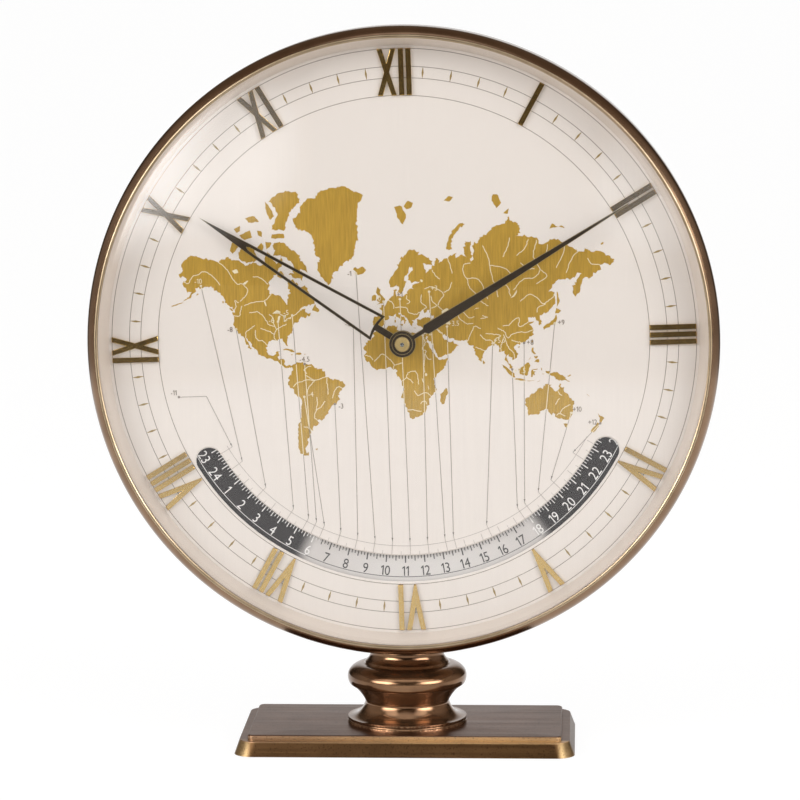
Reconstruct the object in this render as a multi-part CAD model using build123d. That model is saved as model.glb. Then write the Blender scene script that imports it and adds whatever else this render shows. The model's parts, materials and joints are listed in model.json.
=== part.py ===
from build123d import *
from math import acos, atan2, cos, degrees, pi, radians, sin, tan
import os

# World time clock on a turned pedestal, in millimetres. The origin is the middle of the
# underside, +Z is up and the dial faces -Y, so every depth below is a Y value and a smaller
# one lies nearer to the viewer. Angles on the dial are clockwise from twelve o'clock, and
# bearings of arbors are counter-clockwise from three o'clock, both as seen from the front.

# General fits
seat_gap = 0.05             # between two fixed pieces that fit in each other
running_gap = 0.06          # radial play of a turning piece on its shaft

# Stand
base_width = 136.0          # over the foot of the lower plate
base_depth = 72.0
base_corner = 7.6           # upright corners of the lower plate
base_face = 5.6             # height of the lower plate
base_lean = 2.0             # the lower plate's sides lean in by this much
plateau_inset = 3.3         # ledge round the raised plateau
plateau_rise = 2.05
plateau_corner = 2.6
plateau_round = 0.7         # rounded top edge of the plateau
felt_thickness = 1.4
felt_proud = 0.4            # what the felt stands out below the plate
felt_margin = 7.0           # from the plate's edge to the felt
foot_radius = 24.2          # pedestal, from the bottom up
foot_height = 2.4
foot_groove = 0.6
waist_radius = 16.9
waist_height = 7.4          # pedestal heights are above the plateau
bulge_radius = 23.9
bulge_height = 19.0
bulge_half = 4.6            # half the height of the bulge
collar_radius = 16.9
collar_height = 24.4
collar_band = 1.0
neck_radius = 14.8
neck_height = 29.15
bolt_radius = 3.0
bolt_head_radius = 6.0
bolt_head_height = 4.0
bolt_nut_radius = 5.8       # to the nut's corners
bolt_nut_height = 5.0
bolt_end = 2.0              # what the bolt stands out of its nut
saddle_length = 28.0
saddle_width = 11.0
saddle_height = 4.0         # at the middle

# Case and dial
bezel_clear = 2.8           # from the pedestal's neck to the bezel's lowest point
dial_front = -19.3
dial_thickness = 1.0
dial_turn = 1.65            # the dial sits turned against the clock, as in the photo
dial_hole = 4.4
bezel_radius = 125.0
bezel_front = -31.4
bezel_back = -12.4
bezel_wall = 2.4            # skirt round the drum
bezel_lip = 4.7             # visible width in front
bezel_bead = 0.8            # radius of the bead beside the crystal
bezel_round = 2.9           # width of the outer front edge's curve
bezel_fall = 5.0            # what this curve falls back by
crystal_thickness = 2.0
crystal_rise = 15.0         # height of the dome
flange_margin = 1.2         # from the numerals to the sloped ring that holds the dial
cup_wall = 1.2
cup_back = 20.0             # outer face of the drum's back
cup_round = 14.0
window_margin = 1.0         # from the numerals to the arc window
window_width = 10.5
window_half = 60.0          # half the window's angle
window_bevel = 0.5          # on its front edge
cover_margin = 5.5          # from the movement's posts to the rear cover's flange
cover_ledge = 5.0           # what the flange laps over the drum's back
cover_rise = 6.0
cover_wall = 0.8
cover_slope = 3.0           # how far the cover's side leans in
cover_screws = 3

# Applied numerals
numeral_margin = 4.6        # from the bezel's lip to the numerals
numeral_height = 18.4
numeral_thickness = 1.0
stroke = 2.05               # width of a bar
stroke_gap = 0.9            # between neighbouring bars
x_width = 7.5
v_width = 7.7
v_point = 0.9               # width of its foot
numerals = ["XII", "I", "II", "III", "IV", "V", "VI", "VII", "VIII", "IX", "X", "XI"]

# Hands
hour_hand_angle = 301.6     # as in the photo
minute_hand_angle = 58.3
hand_thickness = 0.6
hand_bow = 5.0              # the minute hand's tip bends so far towards the dial
hour_hand_front = -25.4
minute_hand_front = -27.8
hour_hand_short = 3.3       # what its tip stops short of the numerals
hour_hand_foot = 11.4       # where the open blade starts
hour_hand_foot_half = 5.55
hour_hand_foot_bow = 0.7
hour_hand_stem = 22.8       # closed part at the tip
hour_hand_shoulder_half = 1.85
hour_hand_rim = 1.2         # width of the arms round the opening
hour_hand_stem_half = 1.35
hour_boss = 5.2
minute_hand_over = 6.7      # what its tip reaches over the numerals
minute_hand_foot = 10.0     # where the neck ends
minute_hand_wide = 11.0     # where the blade has its full width
minute_hand_taper = 18.0    # where it begins to narrow
minute_hand_half = 2.1
minute_hand_neck_half = 0.9
minute_hand_tip_half = 0.28
minute_boss = 5.3
minute_collet = 4.6         # raised ring round the nut
minute_collet_rise = 0.45
hand_nut_radius = 2.8
hand_nut_height = 1.5
centre_tip_radius = 0.76
centre_tip = 0.8            # what the arbor stands out of the nut

# Teeth
pressure_angle = radians(28.0)
addendum = 0.8              # of a module
dedendum = 1.05
tooth_play = 0.06           # what each tooth is thinner than half its pitch

# Motion work and zone drive, in front of the movement
plate_front = -6.0          # front face of the front plate
layer_gap = 0.6             # between neighbouring wheels
motion_wheel = 1.2          # thickness of the wheels
motion_module = 0.9
cannon_teeth = 10
minute_teeth = 30
minute_leaves = 8
hour_teeth = 32
zone_module = 1.0
zone_drive_teeth = 12
zone_teeth = 24
zone_leaves = 9
disc_teeth = 27
motion_bearing = 150.0
zone_bearing = 30.0
stud_radius = 1.0
stud_head = 1.9
stud_head_height = 0.6
cannon_radius = 2.0
hour_pipe_radius = 3.0
disc_gap = 0.8              # between the dial's back and the 24-hour disc
disc_thickness = 0.8
disc_margin = 1.6           # what the disc reaches past the window
disc_ring = 15.0            # width of the printed ring
disc_spokes = 4
disc_spoke_width = 9.0
disc_hub_radius = 6.5
disc_centre_radius = 20.0   # round plate at the middle of the disc

# Movement
wheel_rim = 1.2             # what a crossed wheel keeps below its teeth
wheel_arms = 5
wheel_arm = 1.4             # width of an arm
hub_margin = 1.0            # what a crossed wheel's hub reaches past its pinion
plate_radius = 44.0
plate_thickness = 2.0
plate_spacing = 14.0
pillar_radius = 2.5
pillar_margin = 4.5         # from the plates' edge to the pillars
pillar_bearings = [20.0, 110.0, 195.0, 300.0]
pillar_screw_radius = 1.2
screw_head_radius = 2.2
screw_head_height = 1.2
post_radius = 3.0
post_margin = 4.5           # from the plates' edge to the posts
post_bearings = [75.0, 165.0, 335.0]
ear_radius = 5.0
arbor_radius = 0.9
pivot_radius = 0.6
going_wheel = 0.8           # thickness of the going wheels
centre_arbor_radius = 1.2
centre_tube_radius = 1.7
barrel_distance = 23.0
barrel_bearing = 250.0
barrel_module = 0.8
barrel_teeth = 45
barrel_leaves = 9
barrel_rim = 1.8            # thickness of the toothed rim
barrel_height = 9.6
barrel_wall = 1.2
barrel_cover_thickness = 0.8
barrel_core_radius = 3.6
barrel_arbor_radius = 2.0
mainspring_clear = 0.4
mainspring_inner = 6.0
intermediate_module = 0.6
intermediate_teeth = 54
centre_leaves = 9
third_module = 0.5
centre_teeth = 56
third_leaves = 8
third_bearing = 60.0
fourth_module = 0.45
third_teeth = 56
fourth_leaves = 8
fourth_bearing = 150.0      # from the third arbor
escape_module = 0.4
fourth_teeth = 64
escape_leaves = 8
escape_bearing = 200.0      # from the fourth arbor
escape_teeth = 15
escape_radius = 6.0
escape_depth = 1.5
pallet_distance = 8.6
pallet_bearing = 235.0      # from the escape arbor
pallet_clear = 0.6          # the stones stand clear of the wheel
pallet_spread = 48.0
pallet_reach = 8.0          # lever towards the balance
pallet_arm = 0.9
balance_distance = 11.0
balance_radius = 9.0
balance_rim = 1.6
balance_thickness = 1.2
balance_bar = 1.5
balance_clear = 1.4         # hole in the back plate round the balance
roller_radius = 1.5
hairspring_inner = 1.5
hairspring_outer = 5.4
hairspring_turns = 4
hairspring_strip = 0.22
hairspring_height = 1.0
cock_thickness = 1.8
cock_half = 3.4
cock_bearing = 130.0        # from the balance
cock_boss_radius = 2.2
cock_boss_height = 1.4
regulator_ring = 3.6
regulator_reach = 9.0
regulator_bearing = -20.0
ratchet_teeth = 24
ratchet_radius = 9.0
ratchet_depth = 1.2
ratchet_thickness = 1.2
ratchet_gap = 0.5           # from the back plate
click_distance = 13.0
click_bearing = 20.0        # from the barrel arbor
click_clear = 0.15          # the beak stands clear of the ratchet's teeth
click_lead = 18.0           # the beak's place, seen from the barrel arbor
click_boss = 2.3
click_spring_foot = 1.6
click_spring_half = 0.2
key_gap = 3.0               # from the rear cover to the key's wings
key_sleeve_radius = 3.4
key_sleeve_length = 12.0
key_wing_radius = 5.5
key_wing_offset = 6.5
key_thickness = 2.2
knob_radius = 7.0
knob_length = 6.0
knob_gap = 2.0
knob_flutes = 12
knob_flute_radius = 1.2

# Levels that follow
base_bottom = felt_proud
ledge_level = base_bottom + base_face
plateau_level = ledge_level + plateau_rise
dial_height = plateau_level + neck_height + bezel_clear + bezel_radius
dial_back = dial_front + dial_thickness
skirt_radius = bezel_radius - bezel_wall
lip_radius = bezel_radius - bezel_lip
cup_radius = skirt_radius - seat_gap
cup_front = dial_back
crystal_seat = bezel_front + 2 * bezel_bead
crystal_back = crystal_seat + crystal_thickness
crystal_radius = skirt_radius - seat_gap
numeral_outer = lip_radius - numeral_margin
numeral_inner = numeral_outer - numeral_height
flange_inner = numeral_outer + flange_margin
window_radius = numeral_inner - window_margin - window_width / 2
disc_radius = window_radius + window_width / 2 + disc_margin
hour_hand_length = numeral_inner - hour_hand_short
hour_hand_shoulder = hour_hand_length - hour_hand_stem
minute_hand_length = numeral_inner + minute_hand_over
hand_bow_radius = (minute_hand_length**2 + hand_bow**2) / (2 * hand_bow)
disc_front = dial_back + disc_gap
disc_back = disc_front + disc_thickness
minute_wheel_back = plate_front - layer_gap
minute_wheel_front = minute_wheel_back - motion_wheel
hour_wheel_back = minute_wheel_front - layer_gap
hour_wheel_front = hour_wheel_back - motion_wheel
zone_wheel_back = hour_wheel_front - layer_gap
zone_wheel_front = zone_wheel_back - motion_wheel
disc_wheel_back = zone_wheel_front - layer_gap
disc_wheel_front = disc_wheel_back - motion_wheel
leaf_margin = layer_gap / 3  # a pinion is a little longer than the wheel it drives
plate_back = plate_front + plate_thickness
rear_front = plate_back + plate_spacing
rear_back = rear_front + plate_thickness
centre_wheel_front = plate_back + layer_gap
centre_wheel_back = centre_wheel_front + going_wheel
intermediate_front = centre_wheel_back + layer_gap
intermediate_back = intermediate_front + going_wheel
barrel_front = intermediate_back + layer_gap
barrel_back = barrel_front + barrel_height
third_front = barrel_front + barrel_rim - going_wheel
third_back = third_front + going_wheel
fourth_front = third_back + 3 * layer_gap
fourth_back = fourth_front + going_wheel
escape_front = fourth_back + 3 * layer_gap
escape_back = escape_front + going_wheel
balance_front = escape_back + layer_gap
balance_back = balance_front + balance_thickness
ratchet_front = rear_back + ratchet_gap
ratchet_back = ratchet_front + ratchet_thickness
cock_back = rear_back + cock_thickness
cover_back = cup_back + cover_rise
pillar_circle = plate_radius - pillar_margin
post_circle = plate_radius + post_margin
cover_flange = post_circle - cover_margin
cover_opening = cover_flange - cover_ledge
cover_screw_circle = cover_flange - cover_ledge / 2
key_front = cover_back + key_gap

# Places of the arbors, from the clock's centre
motion_distance = motion_module * (cannon_teeth + minute_teeth) / 2
zone_distance = zone_module * (zone_drive_teeth + zone_teeth) / 2


def polar(distance, bearing, start=Vector(0, 0)):
    turn = radians(bearing)
    return start + Vector(distance * cos(turn), distance * sin(turn))


centre_place = Vector(0, 0)
motion_place = polar(motion_distance, motion_bearing)
zone_place = polar(zone_distance, zone_bearing)
barrel_place = polar(barrel_distance, barrel_bearing)
intermediate_distance = intermediate_module * (intermediate_teeth + centre_leaves) / 2
barrel_reach = barrel_module * (barrel_teeth + barrel_leaves) / 2
intermediate_turn = degrees(acos(
    (barrel_distance**2 + intermediate_distance**2 - barrel_reach**2)
    / (2 * barrel_distance * intermediate_distance)))
intermediate_bearing = barrel_bearing + intermediate_turn
intermediate_place = polar(intermediate_distance, intermediate_bearing)
third_place = polar(third_module * (centre_teeth + third_leaves) / 2, third_bearing)
fourth_distance = fourth_module * (third_teeth + fourth_leaves) / 2
fourth_place = polar(fourth_distance, fourth_bearing, third_place)
escape_distance = escape_module * (fourth_teeth + escape_leaves) / 2
escape_place = polar(escape_distance, escape_bearing, fourth_place)
pallet_place = polar(pallet_distance, pallet_bearing, escape_place)
balance_place = polar(balance_distance, pallet_bearing, pallet_place)
click_place = polar(click_distance, click_bearing, barrel_place)
going_places = [intermediate_place, third_place, fourth_place, escape_place, pallet_place]
pillar_places = [polar(pillar_circle, bearing) for bearing in pillar_bearings]
post_places = [polar(post_circle, bearing) for bearing in post_bearings]
cover_screw_places = [polar(cover_screw_circle, 90 + 360 / cover_screws * n) for n in range(cover_screws)]
cock_foot_place = polar(balance_radius + balance_clear + cock_half, cock_bearing, balance_place)


def facing(depth):
    return Plane(origin=(0, depth, dial_height), x_dir=(1, 0, 0), z_dir=(0, -1, 0))


# A flat piece whose outline is seen from the front
def plate(outline, front, back):
    return extrude(facing(back) * outline, amount=back - front)


def moved(outline, place):
    return Pos(place.X, place.Y) * outline


def disc(radius, place, front, back):
    return plate(moved(Circle(radius), place), front, back)


# A piece turned about an arbor's axis, its outline given as radius and depth
def turned(outline, place=centre_place):
    return Pos(place.X, 0, dial_height + place.Y) * revolve(make_face(outline), axis=Axis.Y)


# A stepped arbor: each step is a radius and the depth where it ends
def shaft(place, start, *steps):
    points = [(0, start)]
    depth = start
    for radius, end in steps:
        points += [(radius, depth), (radius, end)]
        depth = end
    points.append((0, depth))
    return turned(Polyline(*points, close=True), place)


def involute(angle):
    return tan(angle) - angle


# Gear outline: straight flanks between the involute's foot and tip, one tooth at the phase angle
def gear(teeth, module, phase):
    pitch = module * teeth / 2
    base = pitch * cos(pressure_angle)
    tip = pitch + addendum * module
    root = pitch - dedendum * module
    foot = max(root, base)
    at_pitch = (pi * module / 2 - tooth_play) / (2 * pitch) + involute(pressure_angle)
    at_tip = at_pitch - involute(acos(base / tip))
    at_root = at_pitch - involute(acos(base / foot))
    points = []
    for tooth in range(teeth):
        middle = radians(phase) + 2 * pi * tooth / teeth
        for radius, turn in ((root, -at_root), (tip, -at_tip), (tip, at_tip), (root, at_root)):
            points.append((radius * cos(middle + turn), radius * sin(middle + turn)))
    return make_face(Polyline(*points, close=True))


# Phase that puts a gap of the second gear over the first one's tooth on the line of centres
def meshed(teeth, phase, other_teeth, bearing):
    share = (bearing - phase) / (360 / teeth)
    return bearing + 180 - (0.5 - share) * 360 / other_teeth


def gear_plate(place, teeth, module, phase, front, back):
    return plate(moved(gear(teeth, module, phase), place), front, back)


def tip_radius(teeth, module):
    return module * (teeth / 2 + addendum)


# A wheel with windows between its hub and its rim, which leave straight arms
def crossed_wheel(place, teeth, module, phase, front, back, core):
    rim = module * (teeth / 2 - dedendum) - wheel_rim
    windows = Circle(rim) - Circle(core + hub_margin)
    for arm in range(wheel_arms):
        windows -= Rot(0, 0, 360 / wheel_arms * arm) * Pos(rim / 2, 0) * Rectangle(rim, wheel_arm)
    return plate(moved(gear(teeth, module, phase) - windows, place), front, back)


def bearing_to(start, end):
    return degrees(atan2(end.Y - start.Y, end.X - start.X))


# Tooth phases, each gear from the one before it
minute_phase = meshed(cannon_teeth, 0, minute_teeth, motion_bearing)
hour_phase = meshed(minute_leaves, 0, hour_teeth, motion_bearing + 180)
zone_phase = meshed(zone_drive_teeth, 0, zone_teeth, zone_bearing)
disc_phase = meshed(zone_leaves, 0, disc_teeth, zone_bearing + 180)
barrel_to_intermediate = bearing_to(barrel_place, intermediate_place)
intermediate_leaf_phase = meshed(barrel_teeth, 0, barrel_leaves, barrel_to_intermediate)
centre_leaf_phase = meshed(intermediate_teeth, 0, centre_leaves, intermediate_bearing + 180)
third_leaf_phase = meshed(centre_teeth, 0, third_leaves, third_bearing)
fourth_leaf_phase = meshed(third_teeth, 0, fourth_leaves, fourth_bearing)
escape_leaf_phase = meshed(fourth_teeth, 0, escape_leaves, escape_bearing)


# Stand
def rounded_plan(inset, corner, level):
    outline = RectangleRounded(base_width - 2 * inset, base_depth - 2 * inset, corner)
    return Pos(0, 0, level) * outline


def base_plate():
    lower = loft([rounded_plan(0, base_corner, base_bottom),
                  rounded_plan(base_lean, base_corner, ledge_level)])
    plan = rounded_plan(base_lean + plateau_inset, plateau_corner, ledge_level)
    raised = extrude(plan, amount=plateau_rise)
    raised = fillet(raised.edges().group_by(Axis.Z)[-1], plateau_round)
    body = lower + raised
    pocket = rounded_plan(felt_margin - seat_gap, base_corner, base_bottom)
    body -= extrude(pocket, amount=felt_thickness - felt_proud)
    body -= Pos(0, 0, plateau_level / 2) * Cylinder(bolt_radius + seat_gap, 2 * plateau_level)
    head = extrude(Circle(bolt_head_radius + seat_gap), amount=bolt_head_height)
    return body - Pos(0, 0, felt_thickness) * head


def base_felt():
    return extrude(rounded_plan(felt_margin, base_corner, 0), amount=felt_thickness)


# Outer form of the drum with the given clearance, for what seats on it
def drum(radius, back, round_radius):
    outline = Polyline((0, cup_front), (radius, cup_front), (radius, back - round_radius))
    outline += RadiusArc((radius, back - round_radius), (radius - round_radius, back), -round_radius)
    outline += Polyline((radius - round_radius, back), (0, back), (0, cup_front))
    return turned(outline)


def pedestal():
    top = dial_height - cup_radius + neck_radius
    waist = (waist_radius, plateau_level + waist_height)
    foot_top = plateau_level + foot_height
    bulge_low = plateau_level + bulge_height - bulge_half
    bulge_top = plateau_level + bulge_height + bulge_half
    collar = plateau_level + collar_height
    neck = plateau_level + neck_height
    bore = bolt_radius + seat_gap
    rim = foot_radius - foot_groove / 3
    flare = bulge_radius - foot_groove
    cove = (waist_radius + (rim - waist_radius) * 0.3, foot_top + (waist[1] - foot_top) * 0.35)
    throat = (waist_radius + (flare - waist_radius) * 0.4, waist[1] + (bulge_low - waist[1]) * 0.54)
    scoop = (neck_radius + (collar_radius - neck_radius) * 0.3, collar + (neck - collar) * 0.45)
    outline = Polyline((bore, plateau_level), (foot_radius, plateau_level),
                       (foot_radius, plateau_level + foot_height * 0.4),
                       (foot_radius - foot_groove, plateau_level + foot_height * 0.5),
                       (rim, plateau_level + foot_height * 0.6), (rim, foot_top))
    outline += ThreePointArc((rim, foot_top), cove, waist)
    outline += ThreePointArc(waist, throat, (flare, bulge_low))
    outline += ThreePointArc((flare, bulge_low), (bulge_radius, plateau_level + bulge_height),
                             (collar_radius + foot_groove, bulge_top))
    outline += Polyline((collar_radius + foot_groove, bulge_top), (collar_radius, collar - collar_band / 2),
                        (collar_radius, collar + collar_band / 2))
    outline += ThreePointArc((collar_radius, collar + collar_band / 2), scoop, (neck_radius, neck))
    outline += Polyline((neck_radius, neck), (neck_radius, top), (bore, top), (bore, plateau_level))
    column = revolve(make_face(Plane.XZ * outline), axis=Axis.Z)
    column -= disc(bezel_radius + seat_gap, centre_place, bezel_front, bezel_back + seat_gap)
    return column - drum(cup_radius + seat_gap, cup_back, cup_round)


saddle_bottom = dial_height - cup_radius + cup_wall
saddle_top = saddle_bottom + saddle_height


def stand_bolt():
    shank = saddle_top + bolt_nut_height + bolt_end - felt_thickness
    bolt = extrude(Circle(bolt_radius), amount=shank)
    head = extrude(RegularPolygon(bolt_head_radius, 6), amount=bolt_head_height)
    return Pos(0, 0, felt_thickness) * (bolt + head)


def saddle_washer():
    block = Box(saddle_length, saddle_width, 2 * saddle_height)
    block = Pos(0, 0, saddle_top - saddle_height) * block
    inside = cup_radius - cup_wall - seat_gap
    hollow = Pos(0, 0, dial_height) * Rot(90, 0, 0) * Cylinder(inside, 2 * saddle_width)
    hole = Pos(0, 0, saddle_top) * Cylinder(bolt_radius + seat_gap, 4 * saddle_height)
    return (block & hollow) - hole


def stand_nut():
    outline = RegularPolygon(bolt_nut_radius, 6) - Circle(bolt_radius + seat_gap)
    return Pos(0, 0, saddle_top) * extrude(outline, amount=bolt_nut_height)


# Case and dial
def case_cup():
    shell = drum(cup_radius, cup_back, cup_round)
    hollow = Polyline((0, cup_front), (cup_radius - cup_wall, cup_front),
                      (cup_radius - cup_wall, cup_back - cup_round))
    inner_round = cup_round - cup_wall
    corner = (cup_radius - cup_round, cup_back - cup_wall)
    hollow += RadiusArc((cup_radius - cup_wall, cup_back - cup_round), corner, -inner_round)
    hollow += Polyline(corner, (0, cup_back - cup_wall), (0, cup_front))
    shell -= turned(hollow)
    shell -= disc(cover_opening, centre_place, rear_back, cup_back + cup_wall)
    for place in post_places + cover_screw_places:
        shell -= disc(pillar_screw_radius + seat_gap, place, rear_back, cup_back + cup_wall)
    hole = Cylinder(bolt_radius + seat_gap, 4 * cup_wall)
    return shell - Pos(0, 0, saddle_bottom) * hole


def bezel():
    shoulder = bezel_front + bezel_bead / 2
    valley = lip_radius + 2 * bezel_bead
    outline = Polyline((lip_radius, crystal_seat), (lip_radius, shoulder))
    bead_top = (lip_radius + bezel_bead, bezel_front)
    round_start = (bezel_radius - bezel_round, shoulder)
    curve = (bezel_round**2 + bezel_fall**2) / (2 * bezel_round)
    round_end = (bezel_radius, shoulder + bezel_fall)
    outline += ThreePointArc((lip_radius, shoulder), bead_top, (valley, shoulder))
    outline += Line((valley, shoulder), round_start)
    outline += RadiusArc(round_start, round_end, -curve)
    outline += Polyline(round_end, (bezel_radius, bezel_back - bezel_bead),
                        (bezel_radius - bezel_bead, bezel_back), (skirt_radius, bezel_back),
                        (skirt_radius, crystal_seat), (lip_radius, crystal_seat))
    return turned(outline)


def crystal():
    dome = lip_radius - seat_gap
    sphere = (dome**2 + crystal_rise**2) / (2 * crystal_rise)
    apex = crystal_seat - crystal_rise
    inner_apex = apex + crystal_thickness
    outline = RadiusArc((0, apex), (dome, crystal_seat), -sphere)
    outline += Polyline((dome, crystal_seat), (crystal_radius, crystal_seat),
                        (crystal_radius, crystal_back), (dome, crystal_back))
    outline += RadiusArc((dome, crystal_back), (0, inner_apex), sphere)
    outline += Line((0, inner_apex), (0, apex))
    return turned(outline)


def dial_flange():
    top = lip_radius - seat_gap
    outline = Polyline((flange_inner, dial_front), (crystal_radius, dial_front),
                       (crystal_radius, crystal_back), (top, crystal_back),
                       (flange_inner, dial_front - seat_gap), close=True)
    return turned(outline)


def dial_plate():
    window = CenterArc((0, 0), window_radius, -90 - window_half, 2 * window_half)
    outline = Circle(crystal_radius) - SlotArc(window, window_width) - Circle(dial_hole)
    dial = plate(Rot(0, 0, dial_turn) * outline, dial_front, dial_back)
    front = dial.faces().sort_by(Axis.Y)[0]
    rim = front.inner_wires().sort_by(SortBy.LENGTH)[-1]
    return chamfer(rim.edges(), window_bevel)


# A stroke from its foot to its head, cut off level at both ends
def bar(start, end):
    across = stroke / 2
    return make_face(Polyline((start - across, numeral_inner), (start + across, numeral_inner),
                              (end + across, numeral_outer), (end - across, numeral_outer), close=True))


# Two bars that meet in a narrow foot
def vee(middle):
    foot = v_point / 2
    head = v_width / 2
    fork = numeral_inner + numeral_height * (stroke - foot) / (head - foot)
    outline = Polyline((-foot, numeral_inner), (foot, numeral_inner), (head, numeral_outer),
                       (head - stroke, numeral_outer), (0, fork), (stroke - head, numeral_outer),
                       (-head, numeral_outer), close=True)
    return Pos(middle, 0) * make_face(outline)


def numeral_strokes(numeral):
    widths = {"I": stroke, "V": v_width, "X": x_width}
    left = -sum(widths[letter] for letter in numeral) / 2 - stroke_gap * (len(numeral) - 1) / 2
    strokes = []
    for letter in numeral:
        middle = left + widths[letter] / 2
        if letter == "I":
            strokes.append(bar(middle, middle))
        if letter == "V":
            strokes.append(vee(middle))
        if letter == "X":
            side = (x_width - stroke) / 2
            strokes.append(bar(middle - side, middle + side) + bar(middle + side, middle - side))
        left += widths[letter] + stroke_gap
    return strokes


def hour_numerals():
    solids = []
    for hour, numeral in enumerate(numerals):
        for outline in numeral_strokes(numeral):
            turn = Rot(0, 0, dial_turn - 30 * hour)
            solids.append(plate(turn * outline, dial_front - numeral_thickness, dial_front))
    return Compound(solids)


def rear_cover():
    inner = cover_opening - seat_gap
    outline = Polyline((0, cover_back), (inner - cover_slope, cover_back), (inner, cup_back + cover_wall),
                       (cover_flange, cup_back + cover_wall), (cover_flange, cup_back),
                       (inner - cover_wall, cup_back),
                       (inner - cover_slope - cover_wall, cover_back - cover_wall),
                       (0, cover_back - cover_wall), close=True)
    lid = turned(outline)
    for place in cover_screw_places:
        lid -= disc(pillar_screw_radius + seat_gap, place, cup_back, cover_back)
    lid -= disc(barrel_arbor_radius + running_gap * 5, barrel_place, cup_back, cover_back)
    return lid - disc(centre_arbor_radius + running_gap * 5, centre_place, cup_back, cover_back)


# A screw put in from behind: its head rests on the given depth
def rear_screw(place, seat, end):
    return shaft(place, end, (pillar_screw_radius, seat), (screw_head_radius, seat + screw_head_height))


def front_screw(place, seat, end):
    return shaft(place, seat - screw_head_height, (screw_head_radius, seat), (pillar_screw_radius, end))


# Movement
def plate_holes(outline, radius, places):
    for place in places:
        outline -= moved(Circle(radius), place)
    return outline


def front_plate():
    outline = Circle(plate_radius)
    outline = plate_holes(outline, pivot_radius + running_gap, going_places + [balance_place])
    outline = plate_holes(outline, barrel_arbor_radius + running_gap, [barrel_place])
    outline = plate_holes(outline, centre_arbor_radius + running_gap, [centre_place])
    outline = plate_holes(outline, stud_radius, [motion_place, zone_place])
    outline = plate_holes(outline, pillar_screw_radius + seat_gap, pillar_places)
    return plate(outline, plate_front, plate_back)


def back_plate():
    outline = Circle(plate_radius)
    for place in post_places:
        inner = place * (1 - 2 * ear_radius / post_circle)
        ear = make_hull([moved(Circle(ear_radius), place).edge(), moved(Circle(ear_radius), inner).edge()])
        outline += ear
    outline = plate_holes(outline, pivot_radius + running_gap, going_places)
    outline = plate_holes(outline, balance_radius + balance_clear, [balance_place])
    outline = plate_holes(outline, barrel_arbor_radius + running_gap, [barrel_place])
    outline = plate_holes(outline, centre_arbor_radius + running_gap, [centre_place])
    screwed = pillar_places + post_places + [cock_foot_place, click_place, click_spring_place]
    outline = plate_holes(outline, pillar_screw_radius + seat_gap, screwed)
    return plate(outline, rear_front, rear_back)


def tube(place, radius, bore, front, back):
    return plate(moved(Circle(radius) - Circle(bore), place), front, back)


def plate_pillars():
    bore = pillar_screw_radius + seat_gap
    return Compound([tube(place, pillar_radius, bore, plate_back, rear_front) for place in pillar_places])


def pillar_screws():
    grip = plate_spacing / 3
    front = [front_screw(place, plate_front, plate_back + grip) for place in pillar_places]
    rear = [rear_screw(place, rear_back, rear_front - grip) for place in pillar_places]
    return Compound(front + rear)


def movement_posts():
    bore = pillar_screw_radius + seat_gap
    end = cup_back - cup_wall
    return Compound([tube(place, post_radius, bore, rear_back, end) for place in post_places])


def post_screws():
    return Compound([rear_screw(place, cup_back, rear_front) for place in post_places])


def cover_screw_set():
    seat = cup_back + cover_wall
    return Compound([rear_screw(place, seat, cup_back - cup_wall) for place in cover_screw_places])


# An arbor between the plates, with a pivot at each end
def going_arbor(place):
    return shaft(place, plate_front, (pivot_radius, plate_back + running_gap),
                 (arbor_radius, rear_front - running_gap), (pivot_radius, rear_back))


def barrel():
    pitch = barrel_module * barrel_teeth / 2
    outer = pitch - dedendum * barrel_module
    rim = gear_plate(barrel_place, barrel_teeth, barrel_module, 0, barrel_front, barrel_front + barrel_rim)
    body = rim + disc(outer, barrel_place, barrel_front, barrel_back)
    body -= disc(outer - barrel_wall, barrel_place, barrel_front + barrel_wall, barrel_back)
    return body - disc(barrel_arbor_radius + running_gap, barrel_place, barrel_front, barrel_back)


barrel_inner = barrel_module * barrel_teeth / 2 - dedendum * barrel_module - barrel_wall


def barrel_cover():
    bore = barrel_arbor_radius + running_gap
    front = barrel_back - barrel_cover_thickness
    return tube(barrel_place, barrel_inner - seat_gap, bore, front, barrel_back)


# Room for the mainspring inside the barrel
coil_front = barrel_front + barrel_wall + mainspring_clear
coil_back = barrel_back - barrel_cover_thickness - mainspring_clear


def mainspring():
    return tube(barrel_place, barrel_inner - seat_gap, mainspring_inner, coil_front, coil_back)


def barrel_arbor():
    return shaft(barrel_place, plate_front, (barrel_arbor_radius, coil_front),
                 (barrel_core_radius, coil_back),
                 (barrel_arbor_radius, key_front + key_sleeve_length / 2))


# Saw-toothed wheel: one steep and one long flank on each tooth
def saw_wheel(teeth, radius, depth, hand):
    points = []
    for tooth in range(teeth):
        start = 2 * pi * tooth / teeth
        end = start + hand * 2 * pi / teeth * 0.92
        points.append(((radius - depth) * cos(start), (radius - depth) * sin(start)))
        points.append((radius * cos(end), radius * sin(end)))
    if hand < 0:
        points.reverse()
    return make_face(Polyline(*points, close=True))


def ratchet_wheel():
    outline = saw_wheel(ratchet_teeth, ratchet_radius, ratchet_depth, 1)
    outline -= Circle(barrel_arbor_radius + seat_gap)
    return plate(moved(outline, barrel_place), ratchet_front, ratchet_back)


click_tip = polar(ratchet_radius + click_clear, click_bearing + click_lead, barrel_place)
click_spring_place = polar(3.5 * click_boss, click_bearing + 40, click_place)


def click():
    root = [polar(click_boss, click_bearing + turn, click_place) for turn in (90, 180)]
    beak = Polyline(*[(corner.X, corner.Y) for corner in root + [click_tip]], close=True)
    outline = moved(Circle(click_boss), click_place) + make_face(beak)
    outline -= moved(Circle(pillar_screw_radius + running_gap), click_place)
    return plate(outline, ratchet_front, ratchet_back)


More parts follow.
